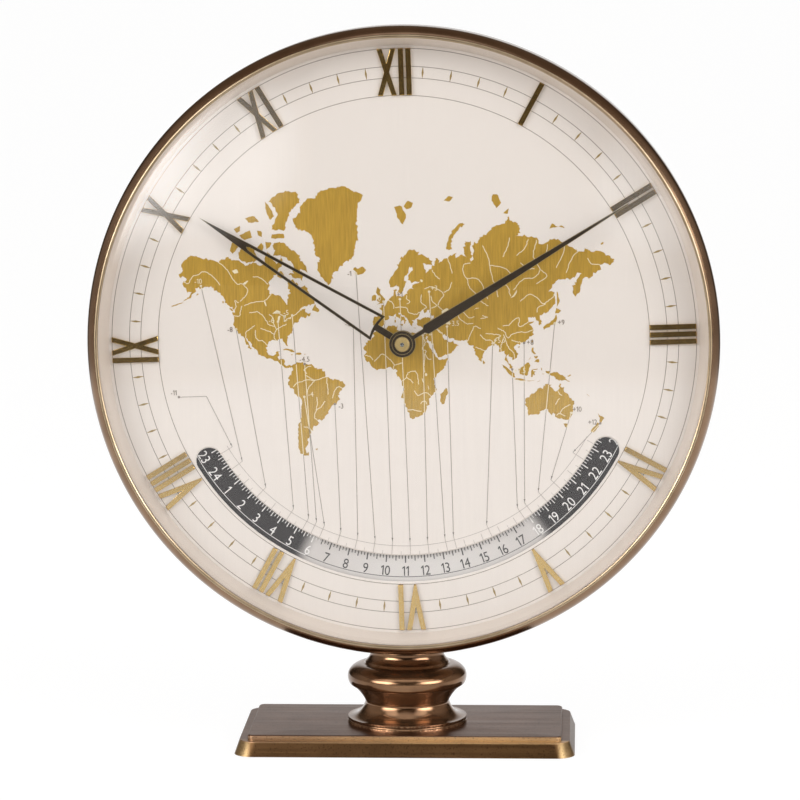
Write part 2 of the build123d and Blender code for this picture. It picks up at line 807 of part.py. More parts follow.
# A leaf on a pinned foot, its free end over the click's beak
def click_spring():
    free_end = polar(click_boss, click_bearing + 110, click_tip)
    outline = strip(free_end, click_spring_place, click_spring_half)
    outline += moved(Circle(click_spring_foot), click_spring_place)
    pin = disc(pillar_screw_radius, click_spring_place, rear_front, rear_back)
    return plate(outline, rear_back, ratchet_back) + pin


def click_screw():
    return rear_screw(click_place, ratchet_back + running_gap, rear_front)


def winding_key():
    sleeve = tube(barrel_place, key_sleeve_radius, barrel_arbor_radius + seat_gap,
                  key_front - key_gap / 2, key_front + key_sleeve_length)
    middle = key_front + key_sleeve_length - key_wing_radius / 2
    wings = Rectangle(2 * key_wing_offset, key_sleeve_radius)
    for side in (-1, 1):
        wings += Pos(side * key_wing_offset, 0) * Circle(key_wing_radius)
    blade = extrude(Pos(0, 0, -key_thickness / 2) * wings, amount=key_thickness)
    blade = Pos(barrel_place.X, middle, dial_height + barrel_place.Y) * blade
    bore_end = key_front + key_sleeve_length / 2
    bore = disc(barrel_arbor_radius + seat_gap, barrel_place, key_front - key_gap, bore_end)
    return sleeve + (blade - bore)


def intermediate_wheel():
    wheel = crossed_wheel(intermediate_place, intermediate_teeth, intermediate_module, 0,
                          intermediate_front, intermediate_back, tip_radius(barrel_leaves, barrel_module))
    leaves = gear_plate(intermediate_place, barrel_leaves, barrel_module, intermediate_leaf_phase,
                        intermediate_back, barrel_front + barrel_rim + leaf_margin)
    return wheel + leaves + going_arbor(intermediate_place)


def centre_wheel():
    wheel = crossed_wheel(centre_place, centre_teeth, third_module, 0, centre_wheel_front,
                          centre_wheel_back, tip_radius(centre_leaves, intermediate_module))
    leaves = gear_plate(centre_place, centre_leaves, intermediate_module, centre_leaf_phase,
                        centre_wheel_back, intermediate_back + leaf_margin)
    hub = disc(centre_tube_radius, centre_place, plate_back + leaf_margin, barrel_front)
    bore = disc(centre_arbor_radius + running_gap, centre_place, plate_back, barrel_back)
    return wheel + leaves + hub - bore


def centre_arbor():
    nut_seat = minute_hand_front - hand_nut_height
    return shaft(centre_place, nut_seat - centre_tip, (centre_tip_radius, minute_hand_front),
                 (centre_arbor_radius, cover_back + knob_gap + knob_length / 2))


def third_wheel():
    leaves = gear_plate(third_place, third_leaves, third_module, third_leaf_phase,
                        centre_wheel_front - leaf_margin, centre_wheel_back + leaf_margin)
    wheel = crossed_wheel(third_place, third_teeth, fourth_module, 0, third_front, third_back,
                          tip_radius(third_leaves, third_module))
    return leaves + wheel + going_arbor(third_place)


def fourth_wheel():
    leaves = gear_plate(fourth_place, fourth_leaves, fourth_module, fourth_leaf_phase,
                        third_front - leaf_margin, third_back + leaf_margin)
    wheel = crossed_wheel(fourth_place, fourth_teeth, escape_module, 0, fourth_front, fourth_back,
                          tip_radius(fourth_leaves, fourth_module))
    return leaves + wheel + going_arbor(fourth_place)


def escape_wheel():
    leaves = gear_plate(escape_place, escape_leaves, escape_module, escape_leaf_phase,
                        fourth_front - leaf_margin, fourth_back + leaf_margin)
    teeth = moved(saw_wheel(escape_teeth, escape_radius, escape_depth, -1), escape_place)
    return leaves + plate(teeth, escape_front, escape_back) + going_arbor(escape_place)


def strip(start, end, half):
    along = (end - start).normalized()
    across = Vector(-along.Y, along.X) * half
    corners = [start + across, start - across, end - across, end + across]
    return make_face(Polyline(*[(corner.X, corner.Y) for corner in corners], close=True))


def pallet_lever():
    back = pallet_bearing + 180
    outline = moved(Circle(2 * pallet_arm), pallet_place)
    outline += strip(pallet_place, polar(pallet_reach, pallet_bearing, pallet_place), pallet_arm)
    for side in (-1, 1):
        inner = polar(escape_radius + pallet_clear, pallet_bearing + side * pallet_spread, escape_place)
        outer = polar(escape_radius + pallet_clear + 2 * pallet_arm, pallet_bearing + side * pallet_spread,
                      escape_place)
        outline += strip(inner, outer, pallet_arm)
        outline += strip(outer, polar(pallet_arm, back, pallet_place), pallet_arm)
    return plate(outline, escape_front, escape_back) + going_arbor(pallet_place)


def balance_wheel():
    rim = Circle(balance_radius) - Circle(balance_radius - balance_rim)
    rim += Rectangle(2 * balance_radius - balance_rim, balance_bar)
    wheel = plate(moved(rim, balance_place), balance_front, balance_back)
    staff = shaft(balance_place, plate_front, (pivot_radius, plate_back + running_gap),
                  (arbor_radius, escape_front), (roller_radius, balance_front),
                  (arbor_radius, rear_back - running_gap),
                  (pivot_radius, cock_back + cock_boss_height / 2))
    return wheel + staff


def hairspring():
    steps = 14 * hairspring_turns
    outer = []
    inner = []
    for step in range(steps + 1):
        turn = 2 * pi * hairspring_turns * step / steps
        radius = hairspring_inner + (hairspring_outer - hairspring_inner) * step / steps
        outer.append(((radius + hairspring_strip) * cos(turn), (radius + hairspring_strip) * sin(turn)))
        inner.append((radius * cos(turn), radius * sin(turn)))
    coil = make_face(Polyline(*(outer + inner[::-1]), close=True))
    return plate(moved(coil, balance_place), rear_back - hairspring_height, rear_back)


def balance_cock():
    far = polar(cock_half, cock_bearing + 180, balance_place)
    outline = strip(far, cock_foot_place, cock_half)
    outline += moved(Circle(cock_half), cock_foot_place)
    outline += moved(Circle(cock_half), far)
    outline = plate_holes(outline, pillar_screw_radius + seat_gap, [cock_foot_place])
    bridge = plate(outline, rear_back, cock_back)
    bridge += disc(cock_boss_radius, balance_place, cock_back, cock_back + cock_boss_height)
    return bridge - disc(pivot_radius + running_gap, balance_place, rear_back, cock_back + cock_boss_height)


def cock_screw():
    return rear_screw(cock_foot_place, cock_back, rear_front)


def regulator():
    outline = Circle(regulator_ring)
    tail = strip(Vector(0, 0), polar(regulator_reach, regulator_bearing), pallet_arm)
    outline = outline + tail - Circle(cock_boss_radius + running_gap)
    back = cock_back + cock_boss_height - running_gap
    return plate(moved(outline, balance_place), cock_back + running_gap, back)


# Motion work and zone drive
def cannon_pinion():
    teeth = gear_plate(centre_place, cannon_teeth, motion_module, 0,
                       minute_wheel_front - leaf_margin, minute_wheel_back + leaf_margin)
    pipe = disc(cannon_radius, centre_place, minute_hand_front, minute_wheel_back + leaf_margin)
    bore = disc(centre_arbor_radius + seat_gap, centre_place, minute_hand_front, plate_front)
    return teeth + pipe - bore


def stud(place, end):
    return shaft(place, end - stud_head_height, (stud_head, end), (stud_radius, plate_back))


def minute_wheel():
    wheel = crossed_wheel(motion_place, minute_teeth, motion_module, minute_phase,
                          minute_wheel_front, minute_wheel_back, tip_radius(minute_leaves, motion_module))
    leaves = gear_plate(motion_place, minute_leaves, motion_module, 0,
                        hour_wheel_front - leaf_margin, minute_wheel_front)
    bore = disc(stud_radius + running_gap, motion_place, zone_wheel_back, plate_front)
    return wheel + leaves - bore


def minute_stud():
    return stud(motion_place, hour_wheel_front - 2 * leaf_margin)


def hour_wheel():
    teeth = gear_plate(centre_place, hour_teeth, motion_module, hour_phase,
                       hour_wheel_front, hour_wheel_back)
    pipe = disc(hour_pipe_radius, centre_place, hour_hand_front, hour_wheel_front)
    bore = disc(cannon_radius + running_gap, centre_place, hour_hand_front, hour_wheel_back)
    return teeth + pipe - bore


def zone_drive_pinion():
    teeth = gear(zone_drive_teeth, zone_module, 0) - Circle(hour_pipe_radius + seat_gap)
    return plate(teeth, zone_wheel_front - leaf_margin, hour_wheel_front)


def zone_wheel():
    wheel = crossed_wheel(zone_place, zone_teeth, zone_module, zone_phase, zone_wheel_front,
                          zone_wheel_back, tip_radius(zone_leaves, zone_module))
    leaves = gear_plate(zone_place, zone_leaves, zone_module, 0,
                        disc_wheel_front - leaf_margin, zone_wheel_front)
    bore = disc(stud_radius + running_gap, zone_place, disc_back, plate_front)
    return wheel + leaves - bore


def zone_stud():
    return stud(zone_place, disc_wheel_front - 2 * leaf_margin)


def disc_wheel():
    teeth = gear_plate(centre_place, disc_teeth, zone_module, disc_phase, disc_wheel_front, disc_wheel_back)
    hub = disc(disc_hub_radius + motion_wheel, centre_place, disc_back, disc_wheel_front)
    hub += disc(disc_hub_radius, centre_place, disc_front, disc_wheel_front)
    bore = disc(hour_pipe_radius + running_gap, centre_place, disc_front, disc_wheel_back)
    return teeth + hub - bore


def hour_disc():
    ring_inner = disc_radius - disc_ring
    outline = Circle(disc_radius) - Circle(ring_inner) + Circle(disc_centre_radius)
    reach = disc_radius - disc_ring / 2
    for spoke in range(disc_spokes):
        turn = Rot(0, 0, 360 / disc_spokes * (spoke + 0.5))
        outline += turn * Pos(reach / 2, 0) * Rectangle(reach, disc_spoke_width)
    outline -= Circle(disc_hub_radius + seat_gap)
    return plate(outline, disc_front, disc_back)


# A hand's blade: its outline cut out of a shallow bowl that opens towards the dial
def bowed(outline, front):
    reach = minute_hand_length + minute_hand_half
    sag = hand_bow_radius - (hand_bow_radius**2 - reach**2) ** 0.5
    back = front + hand_thickness
    bowl = RadiusArc((0, front), (reach, front + sag), -hand_bow_radius)
    bowl += Line((reach, front + sag), (reach, back + sag))
    bowl += RadiusArc((reach, back + sag), (0, back), hand_bow_radius)
    bowl += Line((0, back), (0, front))
    return plate(outline, front, back + sag) & turned(bowl)


# Hands, drawn pointing to twelve and then turned clockwise
def hour_hand():
    foot = hour_hand_foot
    half = hour_hand_foot_half
    shoulder = hour_hand_shoulder_half
    blade = ThreePointArc((-half, foot), (0, foot + hour_hand_foot_bow), (half, foot))
    blade += Polyline((half, foot), (shoulder, hour_hand_shoulder), (0, hour_hand_length),
                      (-shoulder, hour_hand_shoulder), (-half, foot))
    rim = hour_hand_rim
    low = foot + rim
    opening = ThreePointArc((-half + rim, low), (0, low + hour_hand_foot_bow), (half - rim, low))
    opening += Polyline((half - rim, low), (shoulder - rim, hour_hand_shoulder),
                        (0, hour_hand_shoulder + rim), (rim - shoulder, hour_hand_shoulder),
                        (rim - half, low))
    stem = foot + hour_hand_foot_bow
    outline = make_face(blade) - make_face(opening)
    outline += Pos(0, stem / 2) * Rectangle(2 * hour_hand_stem_half, stem)
    outline += Circle(hour_boss)
    outline -= Circle(hour_pipe_radius + seat_gap)
    return bowed(Rot(0, 0, -hour_hand_angle) * outline, hour_hand_front)


def minute_hand():
    wide = minute_hand_half
    neck = minute_hand_neck_half
    tip = minute_hand_tip_half
    blade = Polyline((-neck, 0), (neck, 0), (neck, minute_hand_foot), (wide, minute_hand_wide),
                     (wide, minute_hand_taper), (tip, minute_hand_length), (-tip, minute_hand_length),
                     (-wide, minute_hand_taper), (-wide, minute_hand_wide),
                     (-neck, minute_hand_foot), close=True)
    outline = make_face(blade) + Circle(minute_boss)
    outline -= Circle(cannon_radius + seat_gap)
    middle = minute_hand_front + hand_thickness / 2
    crown = minute_hand_front - minute_collet_rise
    inside = hand_nut_radius + seat_gap
    collet = Polyline((inside, middle), (inside, crown), (minute_collet - minute_collet_rise, crown),
                      (minute_collet, minute_hand_front), (minute_collet, middle), close=True)
    return bowed(Rot(0, 0, -minute_hand_angle) * outline, minute_hand_front) + turned(collet)


def hand_nut():
    bore = centre_tip_radius + seat_gap
    crown = minute_hand_front - hand_nut_height
    outline = Polyline((bore, minute_hand_front), (hand_nut_radius, minute_hand_front),
                       (hand_nut_radius, crown + hand_nut_height / 3), (hand_nut_radius * 0.8, crown),
                       (bore, crown), close=True)
    return turned(outline)


def setting_knob():
    front = cover_back + knob_gap
    outline = Circle(knob_radius)
    for flute in range(knob_flutes):
        outline -= moved(Circle(knob_flute_radius), polar(knob_radius, 360 / knob_flutes * flute))
    knob = plate(outline, front, front + knob_length)
    return knob - disc(centre_arbor_radius + seat_gap, centre_place, cover_back, front + knob_length / 2)


pieces = {
    "base_plate": base_plate,
    "base_felt": base_felt,
    "pedestal": pedestal,
    "stand_bolt": stand_bolt,
    "stand_nut": stand_nut,
    "saddle_washer": saddle_washer,
    "case_cup": case_cup,
    "bezel": bezel,
    "crystal": crystal,
    "dial_flange": dial_flange,
    "dial_plate": dial_plate,
    "hour_numerals": hour_numerals,
    "rear_cover": rear_cover,
    "cover_screws": cover_screw_set,
    "movement_posts": movement_posts,
    "post_screws": post_screws,
    "front_plate": front_plate,
    "back_plate": back_plate,
    "plate_pillars": plate_pillars,
    "pillar_screws": pillar_screws,
    "barrel": barrel,
    "barrel_cover": barrel_cover,
    "mainspring": mainspring,
    "barrel_arbor": barrel_arbor,
    "ratchet_wheel": ratchet_wheel,
    "click": click,
    "click_screw": click_screw,
    "click_spring": click_spring,
    "winding_key": winding_key,
    "intermediate_wheel": intermediate_wheel,
    "centre_wheel": centre_wheel,
    "centre_arbor": centre_arbor,
    "third_wheel": third_wheel,
    "fourth_wheel": fourth_wheel,
    "escape_wheel": escape_wheel,
    "pallet_lever": pallet_lever,
    "balance_wheel": balance_wheel,
    "hairspring": hairspring,
    "balance_cock": balance_cock,
    "cock_screw": cock_screw,
    "regulator": regulator,
    "cannon_pinion": cannon_pinion,
    "minute_wheel": minute_wheel,
    "minute_stud": minute_stud,
    "hour_wheel": hour_wheel,
    "zone_drive_pinion": zone_drive_pinion,
    "zone_wheel": zone_wheel,
    "zone_stud": zone_stud,
    "disc_wheel": disc_wheel,
    "hour_disc": hour_disc,
    "hour_hand": hour_hand,
    "minute_hand": minute_hand,
    "hand_nut": hand_nut,
    "setting_knob": setting_knob,
}

os.makedirs("parts", exist_ok=True)
for name, make in pieces.items():
    export_step(make(), f"parts/{name}.step")
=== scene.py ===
import json
import math

import bmesh
import bpy
import numpy as np
from mathutils import Matrix, Vector
from mathutils.geometry import delaunay_2d_cdt


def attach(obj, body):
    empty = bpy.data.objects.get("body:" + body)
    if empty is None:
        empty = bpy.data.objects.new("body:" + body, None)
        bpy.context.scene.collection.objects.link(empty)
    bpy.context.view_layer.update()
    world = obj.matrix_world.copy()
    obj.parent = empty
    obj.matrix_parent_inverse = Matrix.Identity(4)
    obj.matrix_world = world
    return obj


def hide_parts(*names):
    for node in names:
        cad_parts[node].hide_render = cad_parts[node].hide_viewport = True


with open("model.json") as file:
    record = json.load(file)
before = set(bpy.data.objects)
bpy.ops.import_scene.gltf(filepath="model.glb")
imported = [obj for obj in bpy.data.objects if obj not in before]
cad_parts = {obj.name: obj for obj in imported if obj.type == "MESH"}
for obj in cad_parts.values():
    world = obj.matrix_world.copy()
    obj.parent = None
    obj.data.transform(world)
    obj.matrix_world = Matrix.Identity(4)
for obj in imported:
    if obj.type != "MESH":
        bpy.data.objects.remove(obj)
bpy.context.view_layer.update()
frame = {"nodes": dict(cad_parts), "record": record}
nodes = frame["nodes"]
mm = 0.001
merging = {"distance": 2e-6, "crease": 28}  # metres and degrees
# millimetres and degrees; the print's layers lie one ink step above each other
dial = {"height": 165.0, "front": -19.3, "turn": 1.65, "ringFront": -17.5, "noon": 5.25, "hour": 5.0,
        "inkStep": 0.03, "inkThickness": 0.02}
print("frame loaded:", len(nodes), "nodes")


# One sRGB hex value as linear red, green, blue and alpha
def linear(hexColour):
    c = np.array([int(hexColour[i:i + 2], 16) for i in (1, 3, 5)]) / 255
    return (*np.where(c <= 0.04045, c / 12.92, ((c + 0.055) / 1.055) ** 2.4).tolist(), 1.0)


# Adds one node; a setting is one of its attributes, the value of one of its sockets or a socket to link there
def addNode(tree, kind, settings=None):
    whole = kind.startswith(("NodeGroup", "GeometryNode"))
    node = tree.nodes.new(kind if whole else "ShaderNode" + kind)
    for key, value in (settings or {}).items():
        if isinstance(value, bpy.types.NodeSocket):
            tree.links.new(value, node.inputs[key])
        elif isinstance(key, str) and hasattr(node, key):
            setattr(node, key, value)
        else:
            node.inputs[key].default_value = value
    return node


# One step of arithmetic on sockets and numbers
def maths(tree, operation, *values, clamp=False):
    settings = {"operation": operation, "use_clamp": clamp, **dict(enumerate(values))}
    return addNode(tree, "Math", settings).outputs[0]


# A range of values mapped to another one, level beyond its ends
def ramp(tree, value, low, high, least=0.0, most=1.0, kind="LINEAR"):
    span = {"From Min": low, "From Max": high, "To Min": least, "To Max": most}
    return addNode(tree, "MapRange", {"interpolation_type": kind, "Value": value, **span}).outputs[0]


# Two colours mixed, or the first multiplied by the second
def blend(tree, factor, first, second, kind="MIX"):
    settings = {"data_type": "RGBA", "blend_type": kind, 0: factor, 6: first, 7: second}
    return addNode(tree, "Mix", settings).outputs[2]


# Two numbers mixed
def between(tree, factor, first, second):
    return addNode(tree, "Mix", {"data_type": "FLOAT", 0: factor, 2: first, 3: second}).outputs[0]


# The object's own place along x, y and z
def objectPlace(tree):
    return addNode(tree, "SeparateXYZ", {0: addNode(tree, "TexCoord").outputs["Object"]}).outputs


# Noise on that place; its grains have one size in millimetres, or one each along x, y and z
def noise(tree, grainMm, detail):
    scale = (1000 / np.broadcast_to(grainMm, 3)).tolist()
    sized = addNode(tree, "Mapping", {"Scale": scale, "Vector": addNode(tree, "TexCoord").outputs["Object"]})
    settings = {"Scale": 1.0, "Detail": detail, "Vector": sized.outputs[0]}
    return addNode(tree, "TexNoise", settings).outputs["Fac"]


# The span that noise mostly keeps to, mapped to another one
def noiseRamp(tree, grain, least, most):
    return ramp(tree, grain, 0.3, 0.7, least, most)


# A Principled material with its constant values set on the shader's own sockets
def newMaterial(name, colour, sockets):
    material = bpy.data.materials.new(name)
    material.use_nodes = True
    tree = material.node_tree
    shader = tree.nodes["Principled BSDF"]
    shader.inputs["Base Color"].default_value = linear(colour)
    for key, value in sockets.items():
        shader.inputs[key].default_value = value
    return material, tree, shader


def feed(tree, node, sources):
    for socket, source in sources.items():
        tree.links.new(source, node.inputs[socket])


# A surface with the first shader, or the second where the factor is one
def mixSurface(tree, factor, first, second):
    mix = addNode(tree, "MixShader", {0: factor, 1: first.outputs[0], 2: second.outputs[0]})
    feed(tree, tree.nodes["Material Output"], {"Surface": mix.outputs[0]})


def dress(material, *names):
    for name in names:
        nodes[name].data.materials.clear()
        nodes[name].data.materials.append(material)


# Joins a CAD node's loose triangles and shades it smoothly, with only edges over the crease angle left sharp
def creaseShade():
    tree = bpy.data.node_groups.new("creaseShade", "GeometryNodeTree")
    for way in ("INPUT", "OUTPUT"):
        tree.interface.new_socket("Geometry", in_out=way, socket_type="NodeSocketGeometry")
    shape = addNode(tree, "NodeGroupInput").outputs[0]
    joining = {"Distance": merging["distance"], "Geometry": shape}
    joined = addNode(tree, "GeometryNodeMergeByDistance", joining)
    soft = addNode(tree, "GeometryNodeSetShadeSmooth", {"domain": "FACE", "Geometry": joined.outputs[0]})
    angle = addNode(tree, "GeometryNodeInputMeshEdgeAngle").outputs[0]
    edge = maths(tree, "GREATER_THAN", angle, math.radians(merging["crease"]))
    sharp = addNode(tree, "GeometryNodeSetShadeSmooth", {"domain": "EDGE", "Shade Smooth": False,
                                                         "Geometry": soft.outputs[0], "Selection": edge})
    addNode(tree, "NodeGroupOutput", {0: sharp.outputs[0]})
    return tree


smoothing = creaseShade()
for node in nodes.values():
    node.modifiers.new("creaseShade", "NODES").node_group = smoothing
print("CAD nodes shaded smoothly")


# A narrow rounded bevel on a node's sharp edges, which catches the light
def bevelEdges(name, widthMm, angle=40):
    bevel = nodes[name].modifiers.new("edgeBevel", "BEVEL")
    bevel.width, bevel.segments, bevel.limit_method = widthMm * mm, 2, "ANGLE"
    bevel.angle_limit = math.radians(angle)


# Quads of a grid of rows and columns, the last column joined to the first, and the last row if it is closed
def gridFaces(rows, columns, closed):
    index = np.arange(rows * columns).reshape(rows, columns)
    index = np.concatenate([index, index[:, :1]], axis=1)
    index = np.concatenate([index, index[:1]], axis=0) if closed else index
    return np.stack([index[:-1, :-1], index[:-1, 1:], index[1:, 1:], index[1:, :-1]], axis=-1).reshape(-1, 4)


# An object with a mesh, riding on a CAD body
def addPiece(name, mesh, body):
    piece = bpy.data.objects.new(name, mesh)
    bpy.context.scene.collection.objects.link(piece)
    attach(piece, body)
    return piece


# Such an object from points in millimetres
def newPiece(name, points, faces, materials, body, marks=None):
    mesh = bpy.data.meshes.new(name)
    mesh.from_pydata((np.asarray(points, float) * mm).tolist(), [], faces)
    for material in materials:
        mesh.materials.append(material)
    if marks is not None:
        mesh.polygons.foreach_set("material_index", np.asarray(marks, np.int32))
    mesh.update()
    return addPiece(name, mesh, body)


# A mesh with its doubled points joined, written into another mesh or back
def weld(source, target, distance):
    shape = bmesh.new()
    shape.from_mesh(source)
    bmesh.ops.remove_doubles(shape, verts=shape.verts, dist=distance)
    shape.to_mesh(target)
    shape.free()


# A joined copy of a CAD node's mesh
def mergedCopy(name, node):
    mesh = bpy.data.meshes.new(name)
    weld(nodes[node].data, mesh, merging["distance"])
    return mesh


# One kind of value of a mesh's points, edges or faces as an array
def readAll(items, value, width, kind=float):
    flat = np.empty(len(items) * width, kind)
    items.foreach_get(value, flat)
    return flat.reshape(-1, width)


def shadeSmooth(mesh, crease):
    mesh.shade_smooth()
    mesh.set_sharp_from_angle(angle=math.radians(crease))


# A circle arc through three points of a profile, from the circle that has the same distance to all of them
def arcThrough(a, b, c, count):
    a, b, c = (np.array(p, float) for p in (a, b, c))
    rows = 2 * np.array([b - a, c - a])
    centre = np.linalg.solve(rows, np.array([b @ b - a @ a, c @ c - a @ a]))
    angles = np.unwrap([math.atan2(p[1] - centre[1], p[0] - centre[0]) for p in (a, b, c)])
    turn = np.linspace(angles[0], angles[2], count)
    return centre + np.linalg.norm(a - centre) * np.stack([np.cos(turn), np.sin(turn)], axis=1)


# A profile of radius and depth turned round the dial's axis; poles are merged and real corners kept sharp
def turnedPiece(name, profile, columns, material, replaced, closed, crease=25):
    turn = np.linspace(0, 2 * np.pi, columns, endpoint=False)
    radius, depth = np.asarray(profile, float).T[:, :, None]
    across, rise = radius * np.sin(turn), dial["height"] + radius * np.cos(turn)
    points = np.stack([across, depth + 0 * turn, rise], axis=-1)
    faces = gridFaces(len(profile), columns, closed).tolist()
    piece = newPiece(name, points.reshape(-1, 3), faces, [material], "clock_body")
    weld(piece.data, piece.data, 1e-7)
    shadeSmooth(piece.data, crease)
    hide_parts(replaced)
    return piece


# A finish whose grain is noise: its size, how far it lightens and darkens the colour, the range of roughness
# it gives and how deep it is in millimetres
def grained(name, colour, sockets, grainMm, spread, rough, depthMm=0.0):
    material, tree, shader = newMaterial(name, colour, sockets)
    grain = noise(tree, grainMm, 3.0)
    level = noiseRamp(tree, grain, 1 - spread, 1 + spread)
    feed(tree, shader, {"Base Color": blend(tree, 1.0, linear(colour), level, "MULTIPLY"),
                        "Roughness": noiseRamp(tree, grain, *rough)})
    if depthMm:
        relief = addNode(tree, "Bump", {"Strength": 1.0, "Distance": depthMm * mm, "Height": grain})
        feed(tree, shader, {"Normal": relief.outputs[0]})
    return material


# Cast bronze under a brown patina, brushed lengthwise on top; the front ledge is rubbed golden, the sides
# dark, and the front corners carry a painted gold highlight where the lamps would glint on their rounding;
# the zones are spans in metres
def satinBronze():
    look = {"top": "#846756", "ledge": "#c39b6a", "side": "#654a30", "paintedCornerHighlight": "#b0946a",
            "streakMm": (1000 / 14, 0.5, 0.5), "patchMm": 14, "speckMm": 0.7,
            "ledgeFront": (-0.027, -0.0295), "ledgeRise": (0.0056, 0.006), "leftDull": (-0.065, 0.01, 0.3),
            "topRise": (0.0074, 0.008), "highlightFront": (-0.026, -0.03), "highlightAside": (0.061, 0.063),
            "mottle": (0.84, 1.12), "pits": (0.33, 0.42, 0.6), "wornMetal": 0.15, "rough": (0.28, 0.44)}
    top, ledge, side, paintedCornerHighlight = (linear(look[key]) for key in ("top", "ledge", "side", "paintedCornerHighlight"))
    material, tree, shader = newMaterial("satinBronze", look["top"], {"Metallic": 1.0})
    x, y, z = objectPlace(tree)
    streaks = noise(tree, look["streakMm"], 3.0)
    front = maths(tree, "MULTIPLY", ramp(tree, y, *look["ledgeFront"]), ramp(tree, x, *look["leftDull"]))
    # painted highlight: near the front corners the side colour is mixed towards a light gold
    aside = ramp(tree, maths(tree, "ABSOLUTE", x), *look["highlightAside"])
    aside = maths(tree, "MULTIPLY", aside, ramp(tree, y, *look["highlightFront"]))
    rise, crest = ramp(tree, z, *look["ledgeRise"]), ramp(tree, z, *look["topRise"])
    tone = blend(tree, rise, blend(tree, aside, side, paintedCornerHighlight), blend(tree, front, top, ledge))
    tone = blend(tree, crest, tone, top)
    worn = maths(tree, "SUBTRACT", maths(tree, "MULTIPLY", front, rise), crest, clamp=True)
    mottle = noiseRamp(tree, noise(tree, look["patchMm"], 4.0), *look["mottle"])
    pits = ramp(tree, noise(tree, look["speckMm"], 2.0), *look["pits"])
    wear = maths(tree, "MULTIPLY", mottle, pits)
    relief = addNode(tree, "Bump", {"Strength": 0.15, "Distance": 0.2 * mm, "Height": streaks})
    feed(tree, shader, {"Base Color": blend(tree, 1.0, tone, wear, "MULTIPLY"),
                        "Metallic": maths(tree, "MULTIPLY_ADD", worn, look["wornMetal"] - 1, 1.0),
                        "Roughness": noiseRamp(tree, streaks, *look["rough"]), "Normal": relief.outputs[0]})
    return material


# Turned and polished bronze under clear lacquer: a mirror with browned patches and faint lathe lines
def turnedBronze(name, colour, browned, rough, upright, lineMm=0.9, metallic=1.0):
    look = {"patchMm": 11, "patches": (0.4, 0.72), "lines": 0.12, "dull": 1.35, "bright": 0.75,
            "coat": {"Coat Weight": 0.25, "Coat Roughness": 0.06}}
    material, tree, shader = newMaterial(name, colour, {"Metallic": metallic, **look["coat"]})
    fade = ramp(tree, noise(tree, look["patchMm"], 5.0), *look["patches"])
    tone = blend(tree, fade, linear(colour), linear(browned))
    x, y, along = objectPlace(tree)
    if not upright:
        level = maths(tree, "SUBTRACT", along, dial["height"] * mm)
        flat = addNode(tree, "CombineXYZ", {"X": x, "Y": level}).outputs[0]
        radius = addNode(tree, "VectorMath", {"operation": "LENGTH", 0: flat}).outputs["Value"]
        along = maths(tree, "ADD", radius, y)
    lines = {"noise_dimensions": "1D", "Scale": 1000 / lineMm, "Detail": 3.0, "W": along}
    lathe = addNode(tree, "TexNoise", lines).outputs["Fac"]
    level = noiseRamp(tree, lathe, 1 - look["lines"], 1.0)
    feed(tree, shader, {"Base Color": blend(tree, 1.0, tone, level, "MULTIPLY"),
                        "Roughness": noiseRamp(tree, lathe, rough * look["bright"], rough * look["dull"])})
    return material


# Disc printed in three days: charcoal at night, silver by day, fading into each other at six and eighteen;
# the hour comes from three times the angle round the dial's centre
def dayNightDisc():
    look = {"night": "#272222", "day": "#d3cdc9", "noon": "#ded9d5", "grainMm": 0.5, "days": 3,
            "dawn": (-0.16, 0.08), "morning": (0.2, 1.0), "grain": (0.97, 1.02)}
    night, day, noon = (linear(look[key]) for key in ("night", "day", "noon"))
    sockets = {"Roughness": 0.42, "Specular IOR Level": 0.2}
    material, tree, shader = newMaterial("dayNightDisc", look["day"], sockets)
    x, y, z = objectPlace(tree)
    angle = maths(tree, "ARCTAN2", x, maths(tree, "SUBTRACT", dial["height"] * mm, z))
    hour = maths(tree, "MULTIPLY_ADD", angle, look["days"], -look["days"] * math.radians(dial["noon"]))
    sun = maths(tree, "COSINE", hour)
    bright = blend(tree, ramp(tree, sun, *look["morning"]), day, noon)
    tone = blend(tree, ramp(tree, sun, *look["dawn"], kind="SMOOTHSTEP"), night, bright)
    level = noiseRamp(tree, noise(tree, look["grainMm"], 2.0), *look["grain"])
    feed(tree, shader, {"Base Color": blend(tree, 1.0, tone, level, "MULTIPLY")})
    return material


# Mineral glass, clear and polished; lamps and bounced light pass it, so that the dial behind is lit
def crystalGlass():
    sockets = {"Roughness": 0.0, "IOR": 1.47, "Transmission Weight": 1.0}
    material, tree, shader = newMaterial("mineralGlass", "#ffffff", sockets)
    path = addNode(tree, "LightPath").outputs
    passing = maths(tree, "MAXIMUM", path["Is Shadow Ray"], path["Is Diffuse Ray"])
    mixSurface(tree, passing, shader, addNode(tree, "BsdfTransparent"))
    return material


bronzeSatin = satinBronze()
bronzePolished = turnedBronze("polishedBronze", "#8e6a4b", "#6c4c33", 0.13, True, metallic=0.82)
bronzeBezel = turnedBronze("bezelBronze", "#9a7c62", "#886c54", 0.2, False)
bronzeBead = turnedBronze("beadBronze", "#bba588", "#a38d6e", 0.36, False)
caseLacquer = turnedBronze("lacqueredCase", "#8a6a49", "#7f6142", 0.3, False, 0.7)
glass = crystalGlass()
# painted ring, finely spun: pale, a little duller than the dial
silverRing = grained("paintedRing", "#dccfc3", {}, 0.6, 0.03, (0.4, 0.52))
# dial lacquer over silvered brass: warm white, almost matt, with a hardly visible upright grain
creamDial = grained("creamLacquer", "#ebe2da", {}, (0.9, 4, 30), 0.012, (0.42, 0.52))
# gold-plated brass, polished: mirrors the room, brown where that is dark
gilt = grained("goldPlatedBrass", "#cbab6a", {"Metallic": 1.0}, 2.5, 0.06, (0.07, 0.13))
discPrint = dayNightDisc()
# steel hands, browned and lacquered: nearly black flats
handBrown = grained("brownedHands", "#3c3329", {"Metallic": 0.35}, 1.5, 0.1, (0.28, 0.4))
